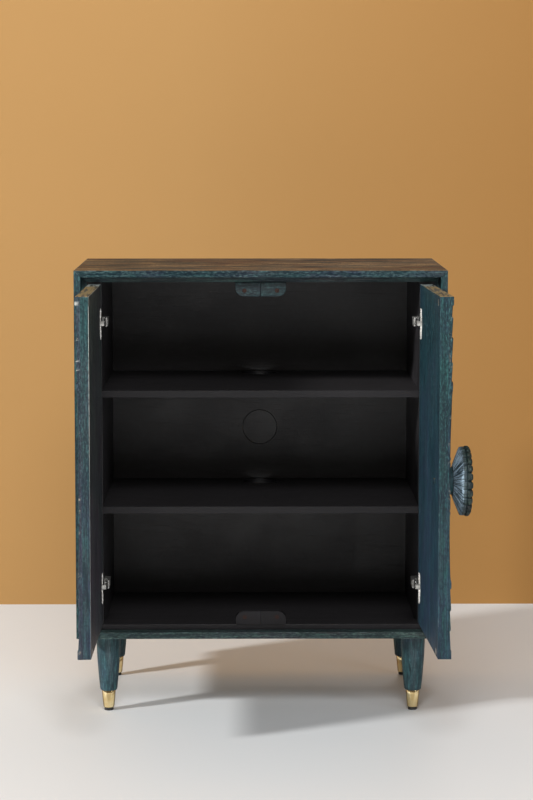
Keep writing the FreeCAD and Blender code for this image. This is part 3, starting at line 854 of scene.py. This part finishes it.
carving = {
    "Seam Gap": 0.001,
    "Border": 0.018,
    "Border Relief": 0.0008,
    "Centre Height": 0.371,
    "Dish Radius": 0.213,
    "Dish Depth": 0.0050,
    "Rays": 48,
    "Ray Shift": 0.25,
    "Flute Depth": 0.0019,
    "Flute Start": 0.060,
    "Flute End": 0.204,
    "Rim Rise": 0.0016,
    "Rim Width": 0.0045,
    "Scale Start": 0.221,
    "Scale Length": 0.047,
    "Scale Rise": 0.0026,
    "Scale Crown": 0.0009,
    "Scale Sink": 0.0034,
    "Tip Share": 0.45,
    "Vein Depth": 0.0008,
    "Vein Width": 0.0013,
    "Rosette Radius": 0.058,
    "Rosette Rise": 0.0014,
    "Hinge Chamfer": 0.004,
    "Edge Rounding": 0.0008,
    "Grid Spacing": 0.0021,
}


def makeCarvingTree():
    names = ["Board Width", "Board Height", "Board Thickness", "Way Out"] + list(carving)
    tree, given, result = makeShapeTree("Carved Front", floats(names))

    # the outermost grid lines are pushed in, one rounding apart
    sides = []
    for name in ("Board Width", "Board Height"):
        inner = given[name] - given["Edge Rounding"] * 2.0
        cells = calc("ROUND", inner / given["Grid Spacing"])
        size = inner * (cells + 2.0) / cells
        sides.append((size, cells + 3.0))
    grid = addNode(tree, "GeometryNodeMeshGrid", {"Size X": sides[0][0], "Size Y": sides[1][0],
                                                 "Vertices X": sides[0][1], "Vertices Y": sides[1][1]})
    halfWidth = given["Board Width"] * 0.5
    halfHeight = given["Board Height"] * 0.5
    spot = position(tree)
    x = calc("MAXIMUM", calc("MINIMUM", spot["X"], halfWidth), -halfWidth)
    y = calc("MAXIMUM", calc("MINIMUM", spot["Y"], halfHeight), -halfHeight)
    flat = together(tree, X=x, Y=y)
    pulled = addNode(tree, "GeometryNodeSetPosition", {"Geometry": grid.outputs[0], "Position": flat})
    up = together(tree, Z=given["Board Thickness"])
    block = addNode(tree, "GeometryNodeExtrudeMesh", {"Mesh": pulled.outputs[0], "Offset": up,
                                                     "Individual": False}, mode="FACES")

    spot = position(tree)
    along = spot["X"] + halfWidth + given["Seam Gap"]
    rise = spot["Y"] + halfHeight - given["Centre Height"]
    radius = calc("SQRT", along * along + rise * rise)
    angle = calc("ARCTAN2", rise, along * given["Way Out"])
    turns = angle * (given["Rays"] / (2 * math.pi)) + given["Ray Shift"]
    cellWidth = radius * (2 * math.pi) / given["Rays"]

    def across(shift, perTurn=1.0):
        return calc("FRACT", turns * perTurn + shift * 0.5) - 0.5

    # rows of scales, each lying over the next one out
    rows = (radius - given["Scale Start"]) / given["Scale Length"]
    row = calc("FLOOR", rows)
    share = rows - row
    odd = calc("FLOORED_MODULO", row, 2.0)

    def scaleHeight(shift, way):
        side = across(shift)
        crown = given["Scale Crown"] * (1.0 - side * side * 4.0)
        vein = bell(side * cellWidth / given["Vein Width"])
        vein *= ramp(way, -0.2, 0.15) * ramp(way, 0.78, 0.94, 1.0, 0.0)
        height = given["Scale Rise"] * way + crown
        height -= vein * given["Vein Depth"]
        return height - given["Scale Sink"], vein

    upper, upperVein = scaleHeight(odd, share)
    lower, lowerVein = scaleHeight(odd + 1.0, share - 1.0)
    past = calc("MAXIMUM", share - given["Tip Share"], 0.0) / (1.0 - given["Tip Share"])
    tip = calc("SQRT", calc("MAXIMUM", 1.0 - past * past, 0.0))
    within = tip - abs(across(odd)) * 2.0
    within = within * cellWidth * 0.5
    over = ramp(within, 0.0, 0.0018)
    scales = upper * over + lower * (1.0 - over)
    tipRidge = over * ramp(within, 0.0015, 0.0045, 1.0, 0.0)
    tipShade = (1.0 - over) * ramp(within, -0.006, 0.0)

    # the dish and its flutes
    reach = calc("MINIMUM", radius / given["Dish Radius"], 1.0)
    bowl = given["Dish Depth"] * (reach * reach - 1.0)
    side = abs(across(0.0)) * 2.0
    way = (radius - given["Flute Start"]) / (given["Flute End"] - given["Flute Start"])
    endPast = calc("MAXIMUM", way - 0.9, 0.0) * 10.0
    fluteTip = calc("SQRT", calc("MAXIMUM", 1.0 - endPast * endPast, 0.0))
    hollow = calc("SUBTRACT", 1.0, side / 0.86, clamp=True)
    hollow = calc("SUBTRACT", hollow, 1.0 - fluteTip, clamp=True)
    rest = 1.0 - hollow
    scoop = calc("SQRT", 1.0 - rest * rest)
    start = ramp(radius, given["Flute Start"], given["Flute Start"] + 0.085)
    flute = scoop * start * given["Flute Depth"]
    rim = bell((radius - (given["Dish Radius"] - 0.001)) / given["Rim Width"])
    dish = bowl - flute + rim * given["Rim Rise"]
    fluteRidge = ramp(side, 0.80, 0.97) * start

    # a small rosette at the middle
    ring = bell((radius - given["Rosette Radius"]) / 0.003)
    petal = across(0.0, 0.5)
    petal = 1.0 - petal * petal * 4.0
    petal *= ramp(radius, 0.048, 0.052, 1.0, 0.0) * ramp(radius, 0.020, 0.024)
    button = ramp(radius, 0.013, 0.020, 1.0, 0.0)
    dish += given["Rosette Rise"] * (ring + petal + button)

    inDish = calc("LESS_THAN", radius, given["Scale Start"] - 0.002)
    relief = dish * inDish + scales * (1.0 - inDish)
    relief = calc("MINIMUM", relief, 0.0) - given["Border Relief"]

    # the plain border on three sides, the chamfer at the hinge edge and the rounded outline
    toHinge = halfWidth - spot["X"]
    toTop = halfHeight - abs(spot["Y"])
    toEdge = calc("MINIMUM", toHinge, toTop)
    field = ramp(toEdge, given["Border"], given["Border"] + 0.0015)
    depth = relief * -field
    depth = calc("MAXIMUM", depth, given["Hinge Chamfer"] - toHinge)
    toOutline = calc("MINIMUM", toEdge, halfWidth + spot["X"])
    outline = calc("LESS_THAN", toOutline, given["Edge Rounding"] * 0.5)
    depth += outline * given["Edge Rounding"]

    edge = tipRidge * (1.0 - inDish) + fluteRidge * inDish
    edge = calc("MAXIMUM", edge, rim) * field
    edge = calc("MAXIMUM", edge, ramp(toOutline, 0.0005, 0.0028, 1.0, 0.0))
    veins = upperVein * over + lowerVein * (1.0 - over)
    # painted shade in the hollows: past the scale tips, along the veins and in the flutes' scoops
    groove = calc("MAXIMUM", tipShade, veins) * (1.0 - inDish)
    groove += scoop * (start * 0.55) * inDish
    groove *= field

    front = calc("GREATER_THAN", spot["Z"], given["Board Thickness"] * 0.5)
    carved = together(tree, X=spot["X"], Y=spot["Y"], Z=given["Board Thickness"] - depth)
    stored = storeValues(tree, block.outputs["Mesh"], {"edge": edge * front, "groove": groove * front})
    shaped = addNode(tree, "GeometryNodeSetPosition", {"Geometry": stored, "Selection": front,
                                                      "Position": carved})
    smoothed = addNode(tree, "GeometryNodeSetShadeSmooth", {"Geometry": shaped.outputs[0]})
    return finishTree(tree, smoothed.outputs[0], finishes["stainLeftCarved"], result)


def closeBack(mesh, crease=0.7):
    shape = bmesh.new()
    shape.from_mesh(mesh)
    rim = [edge for edge in shape.edges if len(edge.link_faces) == 1]
    if rim:
        bmesh.ops.contextual_create(shape, geom=rim)
    bmesh.ops.recalc_face_normals(shape, faces=shape.faces)
    markCreases(shape, crease)
    shape.to_mesh(mesh)
    shape.free()


def standUp(front):
    # a board drawn lying flat is stood up, with its carved side towards the viewer
    return Matrix.Translation(front) @ Matrix.Rotation(math.radians(90), 4, "X")


def makeDoors():
    tree = makeCarvingTree()
    for side in ("left", "right"):
        low, high = boxAfter(side + "_door_carving", closing[side])
        sizes = {"Board Width": high.x - low.x, "Board Height": high.z - low.z,
                 "Board Thickness": high.y - low.y, "Way Out": 1.0 if side == "right" else -1.0}
        mesh = growMesh(tree, side + "_carved_front", {**carving, **sizes})
        mesh.transform(standUp(Vector((0, 0, 0))))
        if side == "left":
            mesh.transform(Matrix.Diagonal((-1, 1, 1, 1)))
        closeBack(mesh)
        if side == "left":
            paintEdgeGlints(mesh, (high.x - low.x) / 2, (high.z - low.z) / 2, low.y - high.y)
        mesh.transform(opening[side] @ Matrix.Translation(backOf(low, high)))
        stained = "stain" + side.capitalize()
        finishPiece(newPiece(side + "_carved_front", mesh), side + "_door", stained + "Carved",
                    [side + "_door_carving"])
        finishPiece(doorBoard(side), side + "_door", stained + "Door", [side + "_door"])
    print("door fronts carved")


doorEdges = {"rounding": 0.0010, "near": 0.0019}
# each painted glint: distance from the top, half its length and its strength
edgeGlints = {"spots": ((0.0145, 0.0045, 0.75), (0.0895, 0.0025, 0.45), (0.1348, 0.0018, 0.45),
                   (0.1543, 0.0018, 0.40)), "reach": 0.0015}


def paintEdgeGlints(mesh, right, top, front):
    # painted highlights: small white glints along the front arris of the free edge
    paintedGlint = mesh.attributes.new("paintedGlint", "FLOAT", "POINT")
    for index, vertex in enumerate(mesh.vertices):
        if right - vertex.co.x > edgeGlints["reach"] or vertex.co.y - front > 3 * edgeGlints["reach"]:
            continue
        for below, half, strength in edgeGlints["spots"]:
            away = abs(top - vertex.co.z - below) / half
            if away < 1:
                paintedGlint.data[index].value = strength * (1 - away ** 2)


def doorBoard(side):
    # the edges that meet the carved front stay sharp, and the left board's inner arris at the free edge is marked
    # for a painted highlight
    low, high = boxAfter(side + "_door", closing[side])
    close = closing[side]
    board = softCopy(side + "_door", doorEdges["rounding"],
                     staysSharp=lambda spot: (close @ spot).y < low.y + doorEdges["near"] / 4)
    if side == "left":
        paintedGlint = board.data.attributes.new("paintedGlint", "FLOAT", "POINT")
        ridge = board.data.attributes["edge"].data
        for index, vertex in enumerate(board.data.vertices):
            spot = close @ vertex.co
            atArris = high.x - spot.x < doorEdges["near"] and high.y - spot.y < doorEdges["near"]
            if atArris and ridge[index].value > 0.5:
                paintedGlint.data[index].value = 1.0
    return board


# Knob: a domed disc with a scalloped rim, fluted at the back and with a rosette in front

knob = {
    "Lobes": 24,
    "Stem Radius": 0.0295,
    "Shoulder Height": 0.0172,
    "Shoulder Inset": 0.0022,
    "Crease Height": 0.0266,
    "Crease Depth": 0.0018,
    "Rim End Height": 0.0358,
    "Rim Softness": 0.0023,
    "Notch Depth": 0.0054,
    "Notch Sharpness": 4.2,
    "Front Recess": 0.0036,
    "Flute Depth": 0.0020,
    "Line Depth": 0.0011,
    "Front Depth": 0.0020,
    "Columns per Lobe": 20,
    "Rows": 100,
    "Streaks": 25.0,
}


# where the way over the knob passes from one part to the next, and the fine lines of a flute
knobWay = (0.0, 0.04, 0.36, 0.44, 0.66, 1.0)
fluteLines = {"at": (-0.64, -0.22, 0.22, 0.64), "width": 0.09}


def makeKnobTree():
    names = ["Radius", "Depth"] + list(knob)
    tree, given, result = makeShapeTree("Scalloped Knob", floats(names))
    around = given["Lobes"] * given["Columns per Lobe"] + 1.0
    grid = addNode(tree, "GeometryNodeMeshGrid", {"Size X": 1.0, "Size Y": 1.0, "Vertices X": around,
                                                 "Vertices Y": given["Rows"]})
    spot = position(tree)
    turn = (spot["X"] + 0.5) * (2 * math.pi)
    way = spot["Y"] + 0.5

    # the way runs over the stem's seat, the fluted back, its shoulder, the knuckles and the front
    seat, back, shoulder, rim, front = [line(way, *knobWay[index:index + 2]) for index in range(5)]
    inset = given["Radius"] - given["Shoulder Inset"]
    radius = given["Stem Radius"] * seat
    radius += (inset - given["Stem Radius"]) * back
    radius += given["Shoulder Inset"] * 0.5 * shoulder
    radius += given["Shoulder Inset"] * 0.5 * ramp(rim, 0.0, 0.2)
    radius -= given["Radius"] * front
    swell = 1.0 - calc("COSINE", back * (math.pi / 2))
    curve = back * 0.85 + swell * 0.15
    height = given["Shoulder Height"] * curve
    height += (given["Crease Height"] - given["Shoulder Height"]) * shoulder
    height += (given["Rim End Height"] - given["Crease Height"]) * rim
    short = 1.0 - line(front, 0.0, 0.05)
    corner = calc("SQRT", 1.0 - short * short)
    height += (given["Depth"] - given["Rim End Height"]) * corner
    height -= given["Front Recess"] * ramp(front, 0.12, 0.34)

    # knuckles round the edge, with a notch between each two that runs on over the front
    cell = 2 * math.pi / given["Lobes"]
    side = (calc("FRACT", turn / cell + 0.5) - 0.5) * 2.0
    notch = abs(side) ** given["Notch Sharpness"] * given["Notch Depth"]
    onRim = ramp(rim, 0.0, 0.12) * ramp(front, 0.0, 0.22, 1.0, 0.0)
    atCrease = ramp(back, 0.80, 1.0) * (ramp(rim, 0.0, 0.01, 1.0, 0.0) * 0.35)
    radius -= notch * calc("MAXIMUM", atCrease, onRim)
    middle = abs(rim * 2.0 - 1.0) ** 4.0
    radius -= onRim * middle * given["Rim Softness"]
    crease = ramp(shoulder, 0.65, 1.0) * ramp(rim, 0.02, 0.10, 1.0, 0.0)
    radius -= crease * given["Crease Depth"]
    sunk = ramp(rim, 0.55, 1.0) * ramp(front, 0.0, 0.34, 1.0, 0.0)
    height -= notch * sunk

    # flutes with fine lines on the back, petals and a button on the front
    valley = abs(side) ** 2.0
    onBack = ramp(back, 0.0, 0.30) * ramp(shoulder, 0.0, 0.8, 1.0, 0.0)
    lines = [bell((side - share) / fluteLines["width"]) for share in fluteLines["at"]]
    cutLine = calc("MAXIMUM", calc("MAXIMUM", lines[0], lines[1]), calc("MAXIMUM", lines[2], lines[3]))
    cutLine *= ramp(back, 0.02, 0.18) * ramp(back, 0.86, 0.95, 1.0, 0.0)
    height += valley * onBack * given["Flute Depth"] + cutLine * given["Line Depth"]
    petals = ramp(front, 0.30, 0.40) * ramp(front, 0.66, 0.72, 1.0, 0.0)
    ring = ramp(front, 0.68, 0.73) * ramp(front, 0.76, 0.82, 1.0, 0.0)
    carve = calc("MAXIMUM", valley * petals, ring)
    height -= carve * given["Front Depth"]

    sideways, upwards = calc("COSINE", turn), calc("SINE", turn)
    where = together(tree, X=radius * sideways, Y=radius * upwards, Z=height)
    fan = together(tree, X=given["Streaks"] * sideways, Y=given["Streaks"] * upwards, Z=way * 3.0)
    ridge = ramp(abs(side), 0.95, 0.35) * (petals * 0.5)
    # painted light: marks where the knob's back is painted lighter and streaked with highlights, fading over the
    # shoulder and along the cut lines
    chalky = ramp(back, 0.02, 0.12) * ramp(shoulder, 0.0, 0.12, 1.0, 0.16)
    chalky *= ramp(shoulder, 0.65, 0.90, 1.0, 0.0)
    chalky *= ramp(back, 0.86, 0.98, 1.0, 0.45)
    chalky *= 1.0 - cutLine * 0.75
    # painted shade in the notches between the knuckles and the petals, in the ring and in the crease
    notched = ramp(abs(side), 0.72, 0.98) * calc("MAXIMUM", petals, onRim)
    groove = calc("MAXIMUM", calc("MAXIMUM", notched, ring), crease)
    stored = storeValues(tree, grid.outputs[0],
                         {"edge": ridge, "groove": groove, "chalky": chalky, "fan": fan})
    shaped = addNode(tree, "GeometryNodeSetPosition", {"Geometry": stored, "Position": where})
    joined = addNode(tree, "GeometryNodeMergeByDistance",
                     {"Geometry": shaped.outputs[0], "Distance": 0.00002})
    smoothed = addNode(tree, "GeometryNodeSetShadeSmooth", {"Geometry": joined.outputs[0]})
    return finishTree(tree, smoothed.outputs[0], finishes["stainKnob"], result)


stem = {"flare": 0.0015, "rows": 12, "segments": 96}
# the solid knob is crowned, so its rim stays this far behind the middle of its face
knobCrown = 0.0028


def makeKnob():
    low, high = boxAfter("knob", closing["right"])
    sizes = {"Radius": (high.z - low.z) / 2, "Depth": high.y - low.y - knobCrown}
    mesh = growMesh(makeKnobTree(), "carved_knob", {**knob, **sizes})
    closeBack(mesh, 1.2)
    mesh.transform(opening["right"] @ standUp(backOf(low, high)))
    finishPiece(newPiece("carved_knob", mesh), "right_door", "stainKnob", ["knob"])

    low, high = boxAfter("knob_stem", closing["right"])
    radius = (high.x - low.x) / 2
    length = high.y - low.y
    profile = [(0, 0)]
    for step in range(stem["rows"] + 1):
        share = step / stem["rows"]
        waist = stem["flare"] * math.sin(math.pi * share)
        profile.append((radius - waist, length * share))
    profile.append((0, length))
    piece = lathe(profile, stem["segments"], (0, 0), "knob_neck")
    piece.data.transform(opening["right"] @ standUp(backOf(low, high)))
    finishPiece(piece, "right_door", "stainLeg", ["knob_stem"])
    print("knob carved")


# Hinges

hinges = {"rounding": 0.00035, "shortest": 0.0002, "segments": 2}


def makeHinges():
    for side in ("left", "right"):
        for level in ("upper", "lower"):
            for part, body, finish in (("arm", "cabinet", "nickel"),
                                       ("link", side + "_hinge_links", "nickel"),
                                       ("cup", side + "_door", "flange")):
                node = "%s_%s_hinge_%s" % (side, level, part)
                finishPiece(softCopy(node, **hinges), body, finish, [node])
    finishPiece(softCopy("hinge_plates", **hinges), "cabinet", "nickel", ["hinge_plates"])
    print("hinges finished")


# Screws with a cross recess

screws = {"segments": 32, "dome": 0.0005, "headHeight": 0.0010, "recessShare": 0.62, "recessEdge": 0.1,
          "recessDepth": 0.0009, "recessMiddle": 0.2, "recessArm": 14, "shankShare": 0.5, "shankLength": 0.92,
          "rings": ((0.16, 0.98), (0.34, 0.95), (0.62, 0.85), (0.84, 0.55), (0.96, 0.25), (1.0, 0.0))}


def screwTemplate(name, headRadius, length):
    headHeight = screws["headHeight"]
    shank = headRadius * screws["shankShare"]
    profile = [(0, screws["dome"])] + [(headRadius * r, screws["dome"] * h) for r, h in screws["rings"]]
    profile += [(headRadius, -headHeight), (shank, -headHeight), (shank, -length * screws["shankLength"]),
                (0, -length)]
    piece = lathe(profile, screws["segments"], (0, 0), name)
    for vertex in piece.data.vertices:
        spread = math.hypot(vertex.co.x, vertex.co.y)
        if vertex.co.z < 0 or spread > headRadius * (screws["recessShare"] - screws["recessEdge"]):
            continue
        turn = math.degrees(math.atan2(vertex.co.y, vertex.co.x)) % 90
        if spread < headRadius * screws["recessMiddle"] or min(turn, 90 - turn) < screws["recessArm"]:
            vertex.co.z -= screws["recessDepth"]
    return piece


def makeScrewTree():
    tree, given, result = makeShapeTree("Screws", [
        ("Geometry", "NodeSocketGeometry", None),
        ("Screw", "NodeSocketObject", None),
        ("Turn Seed", "NodeSocketInt", 3),
        ("Finish", "NodeSocketMaterial", None),
    ])
    shape = addNode(tree, "GeometryNodeObjectInfo", {"Object": given["Screw"]})
    facing = addNode(tree, "GeometryNodeInputNamedAttribute", {"Name": "facing"}, data_type="FLOAT_VECTOR")
    spin = addNode(tree, "FunctionNodeRandomValue", {"Seed": given["Turn Seed"]}, data_type="FLOAT")
    spin.inputs[3].default_value = math.pi / 2
    turned = together(tree, Z=spin.outputs[1])
    upright = addNode(tree, "FunctionNodeAlignRotationToVector", {"Vector": facing.outputs[0]}, axis="Z")
    ownTurn = addNode(tree, "FunctionNodeEulerToRotation", {0: turned})
    rotation = addNode(tree, "FunctionNodeRotateRotation",
                       {"Rotation": upright.outputs[0], "Rotate By": ownTurn.outputs[0]},
                       rotation_space="LOCAL")
    points = addNode(tree, "GeometryNodeMeshToPoints", {"Mesh": given["Geometry"]})
    spread = addNode(tree, "GeometryNodeInstanceOnPoints", {"Points": points.outputs[0],
                                                           "Instance": shape.outputs["Geometry"],
                                                           "Rotation": rotation.outputs[0]})
    return finishTree(tree, spread.outputs[0], given["Finish"], result)


def looseBoxes(node, move):
    # the box of each separate screw in a node
    shape = bmesh.new()
    shape.from_mesh(frame["nodes"][node].data)
    bmesh.ops.remove_doubles(shape, verts=shape.verts, dist=weldDistance)
    shape.transform(move)
    waiting = set(shape.verts)
    boxes = []
    while waiting:
        stack = [waiting.pop()]
        island = list(stack)
        while stack:
            vertex = stack.pop()
            for edge in vertex.link_edges:
                other = edge.other_vert(vertex)
                if other in waiting:
                    waiting.remove(other)
                    stack.append(other)
                    island.append(other)
        boxes.append(boxOf([vertex.co for vertex in island]))
    shape.free()
    return sorted(boxes, key=lambda pair: tuple(round(value, 5) for value in pair[0]))


def placeScrews(tree, node, body, axis, move, inward=False):
    # inward screws sit on both sides of the case, each with its head towards the middle
    boxes = looseBoxes(node, move)
    low, high = boxes[0]
    other = (axis + 1) % 3
    headRadius = (high[other] - low[other]) / 2
    template = screwTemplate(node + "_template", headRadius, high[axis] - low[axis])
    back = move.inverted()
    spots = []
    ways = []
    for low, high in boxes:
        spot = (low + high) / 2
        sign = -1.0 if inward and spot[axis] > 0 else 1.0
        spot[axis] = (high[axis] if sign > 0 else low[axis]) - sign * screws["dome"]
        way = Vector((0, 0, 0))
        way[axis] = sign
        spots.append(back @ spot)
        ways.append(back.to_3x3() @ way)
    mesh = bpy.data.meshes.new(node + "_heads")
    mesh.from_pydata(spots, [], [])
    facing = mesh.attributes.new("facing", "FLOAT_VECTOR", "POINT")
    facing.data.foreach_set("vector", [value for way in ways for value in way])
    grown = growMesh(tree, node + "_heads", {"Screw": template, "Finish": finishes["zinc"]}, mesh)
    bpy.data.objects.remove(template)
    finishPiece(newPiece(node + "_crossed", grown), body, "zinc", [node])


def makeScrews():
    tree = makeScrewTree()
    still = Matrix.Identity(4)
    placeScrews(tree, "back_panel_screws", "cabinet", 1, still)
    placeScrews(tree, "hinge_plate_screws", "cabinet", 0, still, inward=True)
    for side in ("left", "right"):
        placeScrews(tree, side + "_cup_screws", side + "_door", 1, closing[side])
    print("screws placed")


# CAD pieces that keep their shape

keptFinish = {"back_panel": "blackAcross", "rear_posts": "blackUp", "stop_magnets": "magnet",
              "leg_bolts": "zinc", "leg_inserts": "zinc", "hinge_arm_pins": "nickel",
              "left_cup_pins": "nickel", "right_cup_pins": "nickel", "left_strike_plates": "zinc",
              "right_strike_plates": "zinc", "knob_bolt": "stainRightDoor"}


def finishKept():
    for node, finish in keptFinish.items():
        kept = frame["nodes"][node]
        if not kept.material_slots:
            kept.data.materials.append(finishes[finish])
        for materialSlot in kept.material_slots:
            materialSlot.material = finishes[finish]
    print("kept pieces finished")


# Floor, backdrop and light

studio = {"floorColour": (0.725, 0.757, 0.785), "wallColour": (0.44, 0.243, 0.079), "wallDistance": 1.10,
          "floorSize": 16.0, "wallHeight": 9.0, "worldColour": (1.0, 0.90, 0.78), "worldStrength": 0.16,
          "wallShade": (0.355, 0.166, 0.034), "shadeFrom": -0.2, "shadeTo": 1.1, "roughness": 0.75}
# each lamp: place, what it aims at, size, power and tint
lamps = {
    "key": ((-7.66, -4.81, 4.71), (0.0, -0.1, 0.55), 0.95, 850, (1.0, 0.98, 0.95)),
    "front": ((0.1, -5.2, 4.4), (0.1, 0.0, 0.4), 2.2, 188, (1.0, 1.0, 1.0)),
    "apron": ((-0.3, -3.7, 0.02), (-0.3, -3.7, 4.0), 4.2, 38, (1.0, 1.0, 1.0)),
    "fill": ((3.8, -3.4, 1.5), (0.0, -0.1, 0.6), 2.2, 30, (1.0, 1.0, 1.0)),
    "rear": ((0.5, 5.0, 3.2), (0.0, 0.2, 0.5), 3.0, 60, (1.0, 1.0, 1.0)),
}


def plainMaterial(name, tone):
    material, tree, shader = newMaterial(name)
    shader["Base Color"].default_value = (*tone, 1.0)
    shader["Roughness"].default_value = studio["roughness"]
    return material, tree, shader


def makeStudio():
    half = studio["floorSize"] / 2
    floor = bpy.data.meshes.new("floor")
    floor.from_pydata([(-half, -half, 0), (half, -half, 0), (half, half, 0), (-half, half, 0)], [],
                      [(0, 1, 2, 3)])
    floor.materials.append(plainMaterial("floor", studio["floorColour"])[0])
    newPiece("floor", floor)

    far = studio["wallDistance"]
    wall = bpy.data.meshes.new("wall")
    wall.from_pydata([(-half, far, 0), (half, far, 0), (half, far, studio["wallHeight"]),
                      (-half, far, studio["wallHeight"])], [], [(0, 1, 2, 3)])
    material, tree, shader = plainMaterial("wall", studio["wallColour"])
    across = apart(coordinates(tree))["X"]
    shaded = line(across, studio["shadeFrom"], studio["shadeTo"])
    tree.links.new(blend(shaded, studio["wallColour"], studio["wallShade"]), shader["Base Color"])
    behind = addNode(tree, "ShaderNodeNewGeometry").outputs["Backfacing"]
    clear = addNode(tree, "ShaderNodeBsdfTransparent")
    mixed = addNode(tree, "ShaderNodeMixShader", {0: behind, 1: tree.nodes["Principled BSDF"].outputs[0],
                                                  2: clear.outputs[0]})
    tree.links.new(mixed.outputs[0], tree.nodes["Material Output"].inputs["Surface"])
    wall.materials.append(material)
    piece = newPiece("wall", wall)
    piece.visible_shadow = False

    world = bpy.data.worlds.new("studio")
    scene.world = world
    world.use_nodes = True
    background = world.node_tree.nodes["Background"]
    background.inputs["Color"].default_value = (*studio["worldColour"], 1.0)
    background.inputs["Strength"].default_value = studio["worldStrength"]
    for name, (spot, aim, size, power, tint) in lamps.items():
        data = bpy.data.lights.new(name, "AREA")
        data.shape = "DISK"
        data.size = size
        data.energy = power
        data.color = tint
        light = bpy.data.objects.new(name, data)
        light.location = spot
        light.rotation_euler = (Vector(aim) - Vector(spot)).to_track_quat("-Z", "Y").to_euler()
        scene.collection.objects.link(light)
    scene.view_settings.view_transform = "Standard"
    print("studio lit")


makeCamera()
makeCase()
makeLegs()
makeDoors()
makeKnob()
makeHinges()
makeScrews()
finishKept()
makeStudio()
